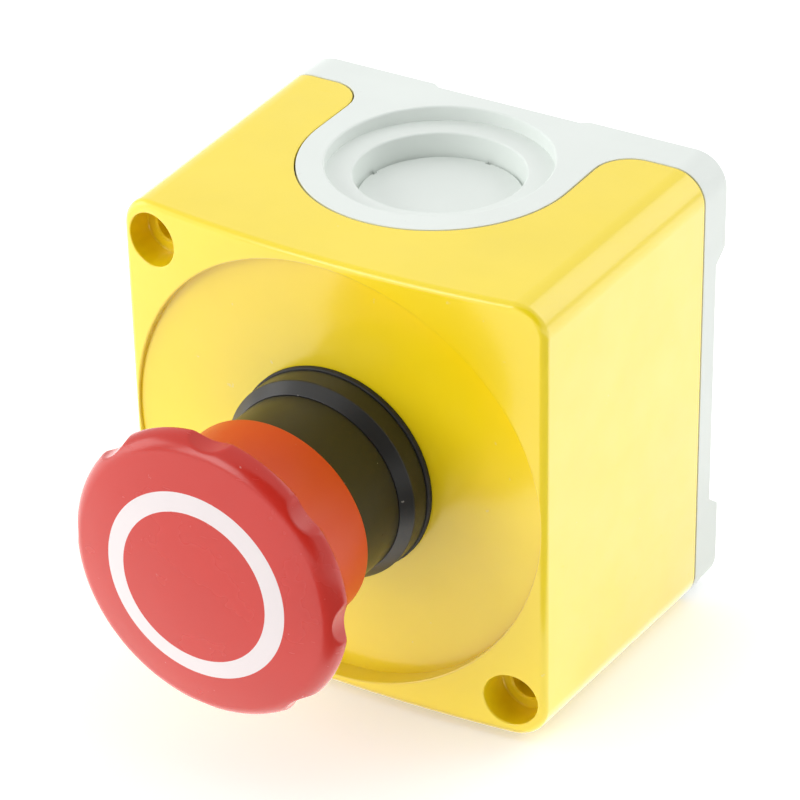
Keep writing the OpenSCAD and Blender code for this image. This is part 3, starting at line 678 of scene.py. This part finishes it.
def flare(r: float, rounding: float, steps: int = 5) -> list[Corner]:
    """Profile of a hole's rounded rim, with heights counted from the outer face.

    Args:
        r: The hole's radius.
        rounding: The rim's rounding.
        steps: Segments of the rounding.

    Returns:
        The corners from the hole's wall up to just above the surface.
    """
    corners = []
    for i in range(steps + 1):
        a = math.radians(84) * i / steps
        corners.append(Corner(r + rounding * (1 - math.cos(a)),
                              FACE - rounding * (1 - math.sin(a))))
    last, lead = corners[-1], 0.5
    corners.append(Corner(last.u + lead, last.v + 0.0525))
    corners.append(Corner(last.u + lead, PAST_FACE))
    return corners


@dataclass
class Cover:
    """The yellow cover: drafted walls, a convex face with a round dish, and two screw towers."""

    housing: Housing
    wall: float = 2.2
    gap: float = 0.2
    edge_r: float = 0.9
    edge_segments: int = 6
    joint_round: float = 0.18
    crown_strips: int = 44
    dish_r: float = 30.8
    dish_z: float = 45.6
    dish_rim: float = 0.35
    panel_back: float = 43.0
    panel_hole_r: float = 11.25
    counterbore_r: float = 3.75
    counterbore_z: float = 42.2
    counterbore_flare: float = 0.22
    counterbore_t: float = 3.0
    bore_r: float = 2.3
    seat_z: float = 17.5
    screw_hole_r: float = 1.6
    tower_r: float = 5.6
    lower_tower_r: float = 4.1
    tower_z: float = 13.0
    tower_round: float = 0.3

    def outside(self) -> Blank:
        """Make the outer form with its convex face and rounded front edge."""
        housing = self.housing
        front = housing.cover_z
        blank = housing.slab(housing.rim_z + self.gap, front, 0)
        bm = blank.bm
        for i in range(1, self.crown_strips):
            x = -housing.half_w(front) + 2 * housing.half_w(front) * i / self.crown_strips
            faces = [f for f in bm.faces if all(v.co.z > front - NEAR for v in f.verts)]
            rim = {g for f in faces for g in (*f.verts, *f.edges)}
            bmesh.ops.bisect_plane(bm, geom=list(rim) + faces, plane_co=(x, 0, 0),
                                   plane_no=(1, 0, 0), dist=1e-3)

        def lift(p: Vector) -> Vector:
            """Raise the front to the crown and keep its border on the drafted walls."""
            if p.z < front - NEAR:
                return p
            z = housing.crown(p.x)
            return Vector((p.x * housing.half_w(z) / housing.half_w(front),
                           p.y * housing.half_h(z) / housing.half_h(front), z))

        blank.moved(lift)
        bmesh.ops.recalc_face_normals(bm, faces=bm.faces[:])

        def is_front(face: bmesh.types.BMFace) -> bool:
            """Tell the crown's faces from the walls."""
            return face.normal.z > 0.8

        def front_edge(edge: bmesh.types.BMEdge) -> bool:
            """Pick the edge between the crown and the walls."""
            return len(edge.link_faces) == 2 and len({is_front(f) for f in edge.link_faces}) == 2

        return blank.bevelled(self.edge_r, self.edge_segments, front_edge, clamp=False)

    def screw_holes(self) -> Iterable[Blank]:
        """Make the cutters for counterbores, bores and screw holes."""
        profile = [Corner(0, -2), Corner(self.screw_hole_r, -2),
                   Corner(self.screw_hole_r, self.seat_z), Corner(self.bore_r, self.seat_z),
                   Corner(self.bore_r, self.counterbore_z - 0.25),
                   Corner(self.bore_r + 0.25, self.counterbore_z),
                   Corner(self.counterbore_r - 0.15, self.counterbore_z),
                   Corner(self.counterbore_r, self.counterbore_z + 0.15),
                   *flare(self.counterbore_r, self.counterbore_flare), Corner(0, PAST_FACE)]
        for tool in self.housing.at_cover_screws(Blank.lathe(profile, 96)):
            yield tool.moved(self.on_crown)

    def on_crown(self, p: Vector) -> Vector:
        """Take a height that is counted from the convex face back to the wall's."""
        if p.z <= FOLLOWS:
            return p
        return Vector((p.x, p.y, self.housing.crown(p.x) + p.z - FACE))

    def build(self, finish: bpy.types.Material) -> None:
        """Carve the cover and hand it over.

        Args:
            finish: The cover's material.
        """
        housing = self.housing
        cover = self.outside()
        hollow = housing.slab(housing.rim_z - 1, self.panel_back, self.wall)
        for r, z in ((self.lower_tower_r, self.tower_z),
                     (self.tower_r, self.counterbore_z - self.counterbore_t)):
            profile = [Corner(0, z), Corner(r, z, self.tower_round, 2),
                       Corner(r, self.dish_z), Corner(0, self.dish_z)]
            for tower in housing.at_cover_screws(Blank.lathe(profile, 64)):
                hollow.cut(tower)
        cover.cut(hollow)
        cover.cut(housing.region(self.gap))
        dish = [Corner(0, self.dish_z), Corner(self.dish_r, self.dish_z),
                *flare(self.dish_r, self.dish_rim), Corner(0, PAST_FACE)]
        cover.cut(Blank.lathe(dish, 256).moved(self.on_crown))
        hole = [Corner(0, self.panel_back - 2), Corner(self.panel_hole_r, self.panel_back - 2),
                Corner(self.panel_hole_r, FOLLOWS), Corner(0, FOLLOWS)]
        cover.cut(Blank.lathe(hole, 128))
        for tool in self.screw_holes():
            cover.cut(tool)

        def joint_edge(edge: bmesh.types.BMEdge) -> bool:
            """Pick the outer edges along the joint line and round both tongues."""
            if len(edge.link_faces) != 2 or edge.calc_face_angle(0.0) < math.radians(60):
                return False
            middle = (edge.verts[0].co + edge.verts[1].co) / 2
            out_x = housing.half_w(middle.z) - abs(middle.x)
            out_y = housing.half_h(middle.z) - abs(middle.y)
            corner = abs(middle.z - housing.rim_z - self.gap) < NEAR and max(
                abs(edge.verts[0].co.x) - housing.half_w(0) + housing.corner_r,
                abs(edge.verts[0].co.y) - housing.half_h(0) + housing.corner_r) > 0
            outer = min(out_x, out_y) < NEAR or (corner and self.near_outside(middle))
            return outer and middle.z < housing.cover_z - 3

        cover.bevelled(self.joint_round, 3, joint_edge)
        publish(cover.finished("yellow_cover"), Body.ENCLOSURE, ["cover_shell"],
                finish)

    def near_outside(self, p: Vector) -> bool:
        """Tell whether a point lies on the outer form's rounded corner."""
        housing = self.housing
        dx = abs(p.x) - (housing.half_w(p.z) - housing.corner_r)
        dy = abs(p.y) - (housing.half_h(p.z) - housing.corner_r)
        return dx > 0 and dy > 0 and abs(math.hypot(dx, dy) - housing.corner_r) < 0.1


@dataclass
class Base:
    """The light grey base: rim, tongues with stepped cable entries, and four feet at the back."""

    housing: Housing
    wall: float = 2.4
    foot_h: float = 2.4
    recess_half_h: float = 18.2
    recess_slant: float = 1.8
    notch_h: float = 0.75
    notch_half_w: float = 11.0
    seal_recess_r: float = 15.15
    seal_recess_h: float = 1.8
    well_r: float = 11.45
    well_h: float = 5.2
    disc_t: float = 1.5
    score_h: float = 0.5
    cup_t: float = 1.85
    ease_r: float = 0.3
    slots: int = 4
    slot_turn: float = 5.0
    slot_l: float = 0.75
    slot_half_w: float = 0.42
    slot_h: float = 0.95
    lip_in: float = 2.35
    cavity_in: float = 3.75
    lip_reach: float = 2.2
    fixing_w: float = 38.0
    fixing_h: float = 46.0
    fixing_r: float = 2.25
    fixing_seat_r: float = 4.4
    fixing_seat_z: float = 3.2
    fixing_head_room: float = 4.0
    post_r: float = 3.3
    post_z: float = 12.9
    insert_r: float = 2.2
    insert_z: float = 6.0
    pilot_r: float = 1.6
    pilot_z: float = 4.5
    edge_round: float = 0.2
    top_z: float = 42.0

    def cavity(self) -> Blank:
        """Make the hollow of the base, with a raised floor between the feet."""
        housing = self.housing
        hollow = housing.block(self.cavity_in, self.wall, housing.cover_z)
        half = self.recess_half_h + self.recess_slant + self.wall
        return hollow.cut(Blank.box((-housing.joint_w, -half, 0),
                                    (housing.joint_w, half, self.foot_h + 2.2)))

    def entry_tools(self) -> Iterable[Blank]:
        """Make the cutters for the seal recesses, wells, score lines and the discs' four slots."""
        floor = -self.seal_recess_h
        profile = [Corner(0, -self.well_h), Corner(self.well_r - self.score_h, -self.well_h),
                   Corner(self.well_r - self.score_h / 2, -self.well_h - self.score_h),
                   Corner(self.well_r, -self.well_h),
                   Corner(self.well_r, floor), Corner(self.seal_recess_r, floor),
                   *flare(self.seal_recess_r, self.ease_r), Corner(0, PAST_FACE)]
        profile = self.eased(profile, floor)
        yield from self.housing.at_entries(Blank.lathe(profile, 160))
        for i in range(self.slots):
            slot = Blank.box((self.well_r - self.slot_l, -self.slot_half_w, -self.well_h - self.slot_h),
                             (self.well_r + 0.02, self.slot_half_w, -self.well_h + 0.1))
            turn = math.radians(360 / self.slots * i - self.slot_turn)
            yield from self.housing.at_entries(slot.placed(Matrix.Rotation(turn, 4, "Z")))

    def eased(self, profile: list[Corner], floor: float) -> list[Corner]:
        """Put a rounding on the well's rim."""
        eased = []
        for corner in profile:
            if corner.v == floor and corner.u == self.well_r:
                for i in range(5):
                    a = math.radians(90) * i / 4
                    eased.append(Corner(self.well_r + self.ease_r * (1 - math.cos(a)),
                                        floor - self.ease_r * (1 - math.sin(a))))
            else:
                eased.append(corner)
        return eased

    def build(self, finish: bpy.types.Material) -> None:
        """Carve the base and hand it over.

        Args:
            finish: The base's material.
        """
        housing = self.housing
        cavity = self.cavity()
        base = housing.block(0, 0, self.top_z)
        base.cut(housing.region(0), Cut.KEEP_COMMON)
        base.cut(cavity)
        lip = housing.block(self.lip_in, self.wall, self.top_z)
        lip.cut(housing.region(self.lip_reach), Cut.KEEP_COMMON)
        lip.cut(cavity)
        base.cut(lip, Cut.ADD)
        cup_r, cup_z = self.well_r + self.cup_t, -self.well_h - self.disc_t
        cup = [Corner(0, cup_z), Corner(cup_r, cup_z, 0.4, 3), Corner(cup_r, -1), Corner(0, -1)]
        for tool in housing.at_entries(Blank.lathe(cup, 96)):
            base.cut(tool, Cut.ADD)
        post = [Corner(0, 1), Corner(self.post_r, 1), Corner(self.post_r, self.post_z, 0.3, 2),
                Corner(0, self.post_z)]
        for tool in housing.at_cover_screws(Blank.lathe(post, 48)):
            base.cut(tool, Cut.ADD)
        self.wall_fixings(base)
        for tool in self.entry_tools():
            base.cut(tool)
        screw = [Corner(0, self.pilot_z), Corner(self.pilot_r, self.pilot_z),
                 Corner(self.pilot_r, self.insert_z), Corner(self.insert_r, self.insert_z),
                 Corner(self.insert_r, self.post_z + 1.1), Corner(0, self.post_z + 1.1)]
        for tool in housing.at_cover_screws(Blank.lathe(screw, 48)):
            base.cut(tool)
        for tool in self.back_tools():
            base.cut(tool)
        base.bevelled(self.edge_round, 2, self.outer_edge)
        publish(base.finished("grey_base"), Body.ENCLOSURE, ["base_shell"], finish)

    def wall_fixings(self, base: Blank) -> None:
        """Put a raised seat with a hole at each of the four wall screws.

        Args:
            base: The base that gets them.
        """
        r, seat_z = self.fixing_seat_r, self.fixing_seat_z
        over_z = seat_z + self.fixing_head_room
        for low, high, radius, how in ((1, seat_z, r, Cut.ADD), (seat_z, over_z, r, Cut.TAKE_AWAY),
                                       (-2, 8, self.fixing_r, Cut.TAKE_AWAY)):
            profile = [Corner(0, low), Corner(radius, low), Corner(radius, high), Corner(0, high)]
            for x in (-1, 1):
                for y in (-1, 1):
                    base.cut(Blank.lathe(profile, 48).placed(Matrix.Translation(
                        (x * self.fixing_w / 2, y * self.fixing_h / 2, 0))), how)

    def back_tools(self) -> Iterable[Blank]:
        """Make the cutters for the recess between the feet and the notches at both ends."""
        half, slant = self.recess_half_h, self.recess_slant
        recess = Blank.outline([Corner(-half - slant, -0.5), Corner(half + slant, -0.5),
                                Corner(half + slant, 0), Corner(half, self.foot_h),
                                Corner(-half, self.foot_h), Corner(-half - slant, 0)], True)
        made = bmesh.ops.extrude_face_region(recess.bm, geom=recess.bm.faces[:])
        top = [g for g in made["geom"] if isinstance(g, bmesh.types.BMVert)]
        bmesh.ops.translate(recess.bm, verts=top, vec=(0, 80, 0))
        bmesh.ops.translate(recess.bm, verts=recess.bm.verts[:], vec=(0, -40, 0))
        yield recess.close().placed(Matrix.Rotation(math.radians(90), 4, "Z"))
        w = self.notch_half_w
        for low, high in ((half + slant - 0.5, 40), (-40, -half - slant + 0.5)):
            yield Blank.prism([Corner(-w - 1, -0.5), Corner(w + 1, -0.5), Corner(w + 1, 0),
                               Corner(w, self.notch_h), Corner(-w, self.notch_h),
                               Corner(-w - 1, 0)], low, high)

    def outer_edge(self, edge: bmesh.types.BMEdge) -> bool:
        """Pick the sharp edges that lie on the outer form."""
        if len(edge.link_faces) != 2 or edge.calc_face_angle(0.0) < math.radians(50):
            return False
        return all(self.on_outside(v.co) for v in edge.verts)

    def on_outside(self, p: Vector) -> bool:
        """Tell whether a point lies on the outer walls."""
        housing = self.housing
        out_x = housing.half_w(p.z) - abs(p.x)
        out_y = housing.half_h(p.z) - abs(p.y)
        dx, dy = housing.corner_r - out_x, housing.corner_r - out_y
        if dx > 0 and dy > 0:
            return abs(math.hypot(dx, dy) - housing.corner_r) < 0.06
        return min(out_x, out_y) < 0.02


@dataclass
class Collar:
    """The fixed black parts round the button: gasket, front ring, and neck with its barrel."""

    gasket_z: float = 45.6
    gasket_r: float = 14.7
    flange_z: float = 46.4
    ring_r: float = 14.4
    ring_side_z: float = 49.4
    ring_front_z: float = 50.9
    ring_nose_r: float = 13.1
    ring_lip_t: float = 0.9
    lip_gap: float = 0.05
    flange_r: float = 13.35
    neck_r: float = 12.95
    neck_front_z: float = 66.0
    barrel_r: float = 11.05
    barrel_end_z: float = 31.0
    chamber_r: float = 8.6
    chamber_z: float = 40.0
    guide_r: float = 5.0
    pin_hole_r: float = 1.63
    pin_z: float = 34.5

    def build(self, black: bpy.types.Material, rubber: bpy.types.Material) -> None:
        """Turn the three pieces, drill the latch's pin holes, and hand the pieces over.

        Args:
            black: The ring's and the neck's material.
            rubber: The gasket's material.
        """
        gasket_in = self.barrel_r + 0.03
        gasket = Blank.lathe([Corner(gasket_in, self.gasket_z),
                              Corner(self.gasket_r, self.gasket_z, 0.15, 3),
                              Corner(self.gasket_r, self.flange_z, 0.25, 4),
                              Corner(gasket_in, self.flange_z)])
        publish(gasket.finished("panel_seal"), Body.ENCLOSURE, ["panel_gasket"],
                rubber)
        inner, lip = self.flange_r + self.lip_gap, self.neck_r + self.lip_gap
        under_lip = self.ring_front_z - self.ring_lip_t
        ring = Blank.lathe([Corner(inner, self.flange_z), Corner(self.ring_r, self.flange_z, 0.2, 3),
                            Corner(self.ring_r, self.ring_side_z, 0.12, 3),
                            Corner(self.ring_nose_r, self.ring_front_z, 0.05, 2),
                            Corner(lip, self.ring_front_z),
                            Corner(lip, under_lip), Corner(inner, under_lip)], 200)
        publish(ring.finished("chamfered_ring"), Body.ENCLOSURE, ["front_ring"],
                black)
        step = under_lip - self.lip_gap
        neck = Blank.lathe([Corner(self.guide_r, self.barrel_end_z, 0.2, 2),
                            Corner(self.barrel_r, self.barrel_end_z, 0.5, 3),
                            Corner(self.barrel_r, self.flange_z), Corner(self.flange_r, self.flange_z),
                            Corner(self.flange_r, step), Corner(self.neck_r, step),
                            Corner(self.neck_r, self.neck_front_z, 0.5, 4),
                            Corner(self.chamber_r, self.neck_front_z, 0.2, 2),
                            Corner(self.chamber_r, self.chamber_z),
                            Corner(self.guide_r, self.chamber_z, 0.2, 2)], 200)
        reach = self.barrel_r + 1
        hole = Blank.lathe([Corner(0, -reach), Corner(self.pin_hole_r, -reach),
                            Corner(self.pin_hole_r, reach), Corner(0, reach)], 40)
        neck.cut(hole.placed(Matrix.Translation((0, 0, self.pin_z))
                             @ Matrix.Rotation(math.pi / 2, 4, "Y")))
        publish(neck.finished("neck_and_barrel"), Body.ENCLOSURE, ["actuator_body"],
                black)


@dataclass
class MushroomCap:
    """The moving head: a domed cap with finger scallops, a white ring and the skirt behind it."""

    cap_r: float = 20.0
    lip_z: float = 73.75
    apex_z: float = 79.0
    dome_r: float = 76.0
    edge_r: float = 2.8
    lip_round: float = 0.3
    scallops: int = 8
    scallop_r: float = 6.5
    scallop_depth: float = 0.8
    scallop_lean: float = 5.0
    scallop_turn: float = -2.8
    scallop_soft: float = 0.22
    ring_out: float = 13.14
    ring_in: float = 10.57
    ring_t: float = 0.4
    ring_steps: int = 6
    rim_in: float = 2.4
    hollow_h: float = 1.5
    hollow_slant: float = 0.4
    seat_w: float = 0.5
    glue_gap: float = 0.02
    skirt_r: float = 14.35
    skirt_bore_r: float = 13.25
    skirt_z: float = 60.35
    web_z: float = 71.5
    spigot_r: float = 12.0
    spigot_z: float = 75.15
    hub_r: float = 7.42
    hub_bore_r: float = 5.42
    stem_seat_z: float = 61.8

    def dome(self, r: float) -> float:
        """Height of the domed face at a radius."""
        return self.apex_z - self.dome_r + math.sqrt(self.dome_r ** 2 - r * r)

    def edge_profile(self) -> list[Corner]:
        """Give the profile from the middle of the face out to the rear lip."""
        centre_r = self.cap_r - self.edge_r
        dome_c = self.apex_z - self.dome_r
        centre_z = dome_c + math.sqrt((self.dome_r - self.edge_r) ** 2 - centre_r ** 2)
        start = math.atan2(centre_z - dome_c, centre_r)
        reach = self.dome_r * math.cos(start)
        stops = [0, 2, 4, 6, 8, self.ring_in, self.ring_in + 0.03, self.ring_in + 0.1,
                 self.ring_out - 0.1, self.ring_out - 0.03, self.ring_out, 13.8, 14.5, 15.2, 15.9, reach]
        face = [Corner(r, self.dome(r)) for r in stops]
        edge = []
        for i in range(1, 21):
            a = start * (1 - i / 20)
            edge.append(Corner(centre_r + self.edge_r * math.cos(a),
                               centre_z + self.edge_r * math.sin(a)))
        return face + edge

    def scalloped(self, p: Vector) -> Vector:
        """Push a point of the rim inwards where a finger scallop cuts it, with a soft edge."""
        r = math.hypot(p.x, p.y)
        if r < 14 or p.z < self.lip_z - 0.01:
            return p
        pitch = 2 * math.pi / self.scallops
        a = math.atan2(p.y, p.x) - math.radians(self.scallop_turn)
        a = (a + pitch / 2) % pitch - pitch / 2
        lean = math.tan(math.radians(self.scallop_lean)) * (p.z - self.lip_z)
        far = self.cap_r + self.scallop_r - self.scallop_depth - lean
        under = self.scallop_r ** 2 - (far * math.sin(a)) ** 2
        if under <= 0:
            return p
        wall = far * math.cos(a) - math.sqrt(under)
        soft = self.scallop_soft
        h = max(0.0, min(1.0, 0.5 + (wall - r) / (2 * soft)))
        new_r = wall * (1 - h) + r * h - soft * h * (1 - h)
        return Vector((p.x * new_r / r, p.y * new_r / r, p.z))

    def build(self, red: bpy.types.Material, orange_red: bpy.types.Material,
              ink: bpy.types.Material) -> None:
        """Turn the cap, its ring and its skirt and hand them over.

        Args:
            red: The cap's material.
            orange_red: The skirt's material.
            ink: The white ring's material.
        """
        lip, seat, hollow = self.lip_z, self.skirt_r + self.seat_w, self.lip_z + self.hollow_h
        rim, socket = self.cap_r - self.rim_in, self.spigot_r + self.glue_gap
        rear = [Corner(self.cap_r, lip, self.lip_round, 3), Corner(rim, lip, 0.2, 2),
                Corner(rim - self.hollow_slant, hollow, 0.3, 2),
                Corner(seat + self.hollow_slant, hollow, 0.3, 2), Corner(seat, lip, 0.15, 2),
                Corner(socket, lip), Corner(socket, self.spigot_z), Corner(0, self.spigot_z)]
        cap = Blank.lathe(self.edge_profile() + rear, 512).moved(self.scalloped)
        cap.cut(self.ring_band(0.5, self.ring_t))
        publish(cap.finished("mushroom_cap"), Body.BUTTON, ["cap_head"], red)
        publish(self.ring_band(0.0, self.ring_t).finished("white_ring"), Body.BUTTON,
                ["ring_inlay"], ink)
        skirt = Blank.lathe([Corner(self.skirt_bore_r, self.skirt_z, 0.15, 2),
                             Corner(self.skirt_r, self.skirt_z, 0.4, 4),
                             Corner(self.skirt_r, lip), Corner(self.spigot_r, lip),
                             Corner(self.spigot_r, self.spigot_z),
                             Corner(self.hub_bore_r, self.spigot_z),
                             Corner(self.hub_bore_r, self.stem_seat_z),
                             Corner(self.hub_r, self.stem_seat_z, 0.2, 2),
                             Corner(self.hub_r, self.web_z, 0.4, 3),
                             Corner(self.skirt_bore_r, self.web_z, 0.4, 3)], 200)
        publish(skirt.finished("skirt"), Body.BUTTON, ["cap_skirt"], orange_red)

    def ring_band(self, proud: float, depth: float) -> Blank:
        """Make a band of the dome.

        Args:
            proud: How far its outer face stands over the dome.
            depth: How deep it reaches into the cap.

        Returns:
            The band.
        """
        step = (self.ring_out - self.ring_in) / self.ring_steps
        radii = [self.ring_in + step * i for i in range(self.ring_steps + 1)]
        return Blank.lathe([Corner(r, self.dome(r) - depth) for r in radii]
                           + [Corner(r, self.dome(r) + proud) for r in reversed(radii)], 256)


@dataclass
class Insides:
    """The CAD nodes that stay as they are, each with its own finish."""

    finishes: Finishes

    def dress(self) -> None:
        """Give every CAD node that is still shown its material."""
        kit = self.finishes
        chosen = {"cover_gasket": kit.rubber, "screw_seals": kit.rubber, "shaft_seal": kit.rubber,
                  "cover_screws": kit.steel, "lock_washer": kit.steel, "screw_inserts": kit.brass,
                  "ring_nut": kit.dark_grey, "push_stem": kit.dark_grey,
                  "contact_adapter": kit.dark_grey, "button_spring": kit.spring}
        for side in ("left", "right"):
            chosen[f"latch_pin_{side}"] = kit.steel
            chosen[f"latch_spring_{side}"] = kit.spring
        for kind, block in (("nc", kit.red_block), ("no", kit.green_block)):
            chosen[f"{kind}_housing"] = block
            chosen[f"{kind}_plunger"] = kit.white_plastic
            chosen[f"{kind}_spring"] = kit.spring
            for part in ("bridge", "fixed_contacts"):
                chosen[f"{kind}_{part}"] = kit.copper
            for part in ("terminal_screws", "wire_clamps"):
                chosen[f"{kind}_{part}"] = kit.steel
        for name, finish in chosen.items():
            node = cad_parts[name]
            if not node.material_slots:
                node.data.materials.append(finish)
            for slot in node.material_slots:
                slot.material = finish
            log.info("%s is dressed in %s", name, finish.name)


@dataclass(frozen=True)
class Softbox:
    """A square lamp: its place and side in metres, its power in watts, and its aim if not the part."""

    name: str
    place: tuple[float, float, float]
    size: float
    power: float
    aim: tuple[float, float, float] | None = None


@dataclass(frozen=True)
class DarkCard:
    """A dark round card, in metres: one in the air stands for a part of the studio that isn't lit, one
    lying on the floor is a painted shadow that only reflections see.
    """

    name: str
    place: tuple[float, float, float]
    facing: tuple[float, float, float]
    radius: float


@dataclass
class Studio:
    """The camera of the photo, soft lamps, and a pale floor."""

    place: tuple[float, float, float] = (0.2205, -0.3778, 0.24605)
    right: tuple[float, float, float] = (0.85038331, 0.52584794, -0.01822591)
    down: tuple[float, float, float] = (0.25476807, -0.44181572, -0.86016981)
    ahead: tuple[float, float, float] = (-0.46037102, 0.72683066, -0.50968197)
    lens: float = 162.17
    sensor_w: float = 36.0
    middle: tuple[float, float, float] = (0, -0.035, 0)
    floor_z: float = -0.0333
    floor_half_w: float = 3.0
    floor_grey: float = 0.93
    floor_glow: float = 0.30
    room: float = 0.96
    card_distance: float = 0.9
    card_r: float = 0.60
    card_grey: float = 0.02
    softboxes: tuple[Softbox, ...] = (
        Softbox("back_right_softbox", (0.55, 0.78, 0.55), 0.8, 3.2),
        Softbox("left_softbox", (-1.0, -0.45, 0.30), 0.6, 2.7),
        Softbox("front_softbox", (-0.45, -1.10, 0.50), 0.6, 4.8),
        Softbox("front_light_table", (0.02, -0.15, -0.0313), 0.22, 0.06, (0, 0, 1)))
    # A dark disc on the floor, seen only in reflections: a painted shadow for the shade under the cap,
    # which the floor's glow hides from reflections.
    painted_floor_shadow: DarkCard = DarkCard("painted_floor_shadow", (0.15, -0.15, -0.0313), (0, 0, 1), 0.135)

    def camera(self) -> None:
        """Stand the camera where the photo was taken from."""
        data = bpy.data.cameras.new("photo_camera")
        data.lens, data.sensor_width = self.lens, self.sensor_w
        data.clip_start, data.clip_end = 0.01, 20.0
        made = bpy.data.objects.new("photo_camera", data)
        bpy.context.scene.collection.objects.link(made)
        columns = (Vector(self.right), -Vector(self.down), -Vector(self.ahead))
        turn = Matrix(columns).transposed().to_4x4()
        made.matrix_world = Matrix.Translation(self.place) @ turn
        bpy.context.scene.camera = made

    def hang(self, box: Softbox) -> None:
        """Hang a softbox that the camera doesn't see.

        Args:
            box: The softbox. One with an aim of its own isn't mirrored by the object either.
        """
        data = bpy.data.lights.new(box.name, "AREA")
        data.shape, data.size, data.energy = "SQUARE", box.size, box.power
        made = bpy.data.objects.new(box.name, data)
        made.location = box.place
        ahead = Vector(box.aim) if box.aim else Vector(self.middle) - Vector(box.place)
        made.rotation_euler = ahead.to_track_quat("-Z", "Y").to_euler()
        made.visible_camera = False
        made.visible_glossy = box.aim is None
        bpy.context.scene.collection.objects.link(made)

    def surroundings(self) -> None:
        """Fill the room with soft light, and show it white."""
        world = bpy.data.worlds.new("white_room")
        world.use_nodes = True
        bpy.context.scene.world = world
        tree = world.node_tree
        back = tree.nodes["Background"]
        back.inputs["Color"].default_value = (1, 1, 1, 1)
        path = tree.nodes.new("ShaderNodeLightPath")
        seen = tree.nodes.new("ShaderNodeMath")
        seen.operation = "MAXIMUM"
        tree.links.new(path.outputs["Is Camera Ray"], seen.inputs[0])
        tree.links.new(path.outputs["Is Glossy Ray"], seen.inputs[1])
        also = tree.nodes.new("ShaderNodeMath")
        also.operation = "MAXIMUM"
        tree.links.new(seen.outputs[0], also.inputs[0])
        tree.links.new(path.outputs["Is Transmission Ray"], also.inputs[1])
        level = tree.nodes.new("ShaderNodeMapRange")
        level.inputs["To Min"].default_value = self.room
        level.inputs["To Max"].default_value = 1.0
        tree.links.new(also.outputs[0], level.inputs["Value"])
        tree.links.new(level.outputs["Result"], back.inputs["Strength"])

    def floor(self) -> None:
        """Lay a pale floor that shows white where no shadow falls."""
        blank = Blank()
        bmesh.ops.create_grid(blank.bm, x_segments=1, y_segments=1, size=self.floor_half_w)
        bmesh.ops.translate(blank.bm, verts=blank.bm.verts[:], vec=(0, 0, self.floor_z))
        made = blank.as_object("pale_floor")
        blank.bm.free()
        material = bpy.data.materials.new("pale_floor")
        material.use_nodes = True
        tree = material.node_tree
        shader = tree.nodes["Principled BSDF"]
        shader.inputs["Base Color"].default_value = shade((self.floor_grey,) * 3, 1)
        shader.inputs["Roughness"].default_value = 0.9
        shader.inputs["Specular IOR Level"].default_value = 0.0
        path = tree.nodes.new("ShaderNodeLightPath")
        shader.inputs["Emission Color"].default_value = (1, 1, 1, 1)
        seen = tree.nodes.new("ShaderNodeMath")
        seen.operation = "MULTIPLY"
        seen.inputs[1].default_value = self.floor_glow
        tree.links.new(path.outputs["Is Camera Ray"], seen.inputs[0])
        glow = tree.nodes.new("ShaderNodeMath")
        glow.operation = "MAXIMUM"
        tree.links.new(seen.outputs[0], glow.inputs[0])
        tree.links.new(path.outputs["Is Glossy Ray"], glow.inputs[1])
        tree.links.new(glow.outputs[0], shader.inputs["Emission Strength"])
        made.data.materials.append(material)

    def set_up(self, card: DarkCard) -> None:
        """Set up a dark card that only the object mirrors.

        Args:
            card: The card. One in the air also keeps the room's light off the object; one on the floor
                is a painted shadow, a dark patch in the floor's reflections where the shade under the
                cap falls.
        """
        blank = Blank()
        bmesh.ops.create_circle(blank.bm, cap_ends=True, segments=48, radius=card.radius)
        turn = Vector(card.facing).to_track_quat("Z", "Y").to_matrix().to_4x4()
        blank.placed(Matrix.Translation(card.place) @ turn)
        made = blank.as_object(card.name)
        blank.bm.free()
        material = bpy.data.materials.new(card.name)
        material.use_nodes = True
        shader = material.node_tree.nodes["Principled BSDF"]
        shader.inputs["Base Color"].default_value = shade((self.card_grey,) * 3, 1)
        made.data.materials.append(material)
        made.visible_camera = made.visible_shadow = False
        made.visible_diffuse = card.place[2] > 0

    def build(self) -> None:
        """Set up camera, room, floor, cards and lamps."""
        bpy.context.scene.view_settings.view_transform = "Standard"
        self.camera()
        self.surroundings()
        self.floor()
        behind = Vector(self.middle) - Vector(self.ahead) * self.card_distance
        self.set_up(DarkCard("camera_card", tuple(behind), self.ahead, self.card_r))
        # The card on the floor paints the cap's shadow into the object's reflections of the floor.
        self.set_up(self.painted_floor_shadow)
        for box in self.softboxes:
            self.hang(box)


def main() -> None:
    """Build the scene in order and report each piece."""
    Studio().build()
    kit = Finishes()
    housing = Housing()
    Base(housing).build(kit.light_grey)
    Cover(housing).build(kit.yellow)
    Collar().build(kit.black, kit.rubber)
    MushroomCap().build(kit.red, kit.orange_red, kit.white_ink)
    Insides(kit).dress()


if __name__ == "__main__":
    main()
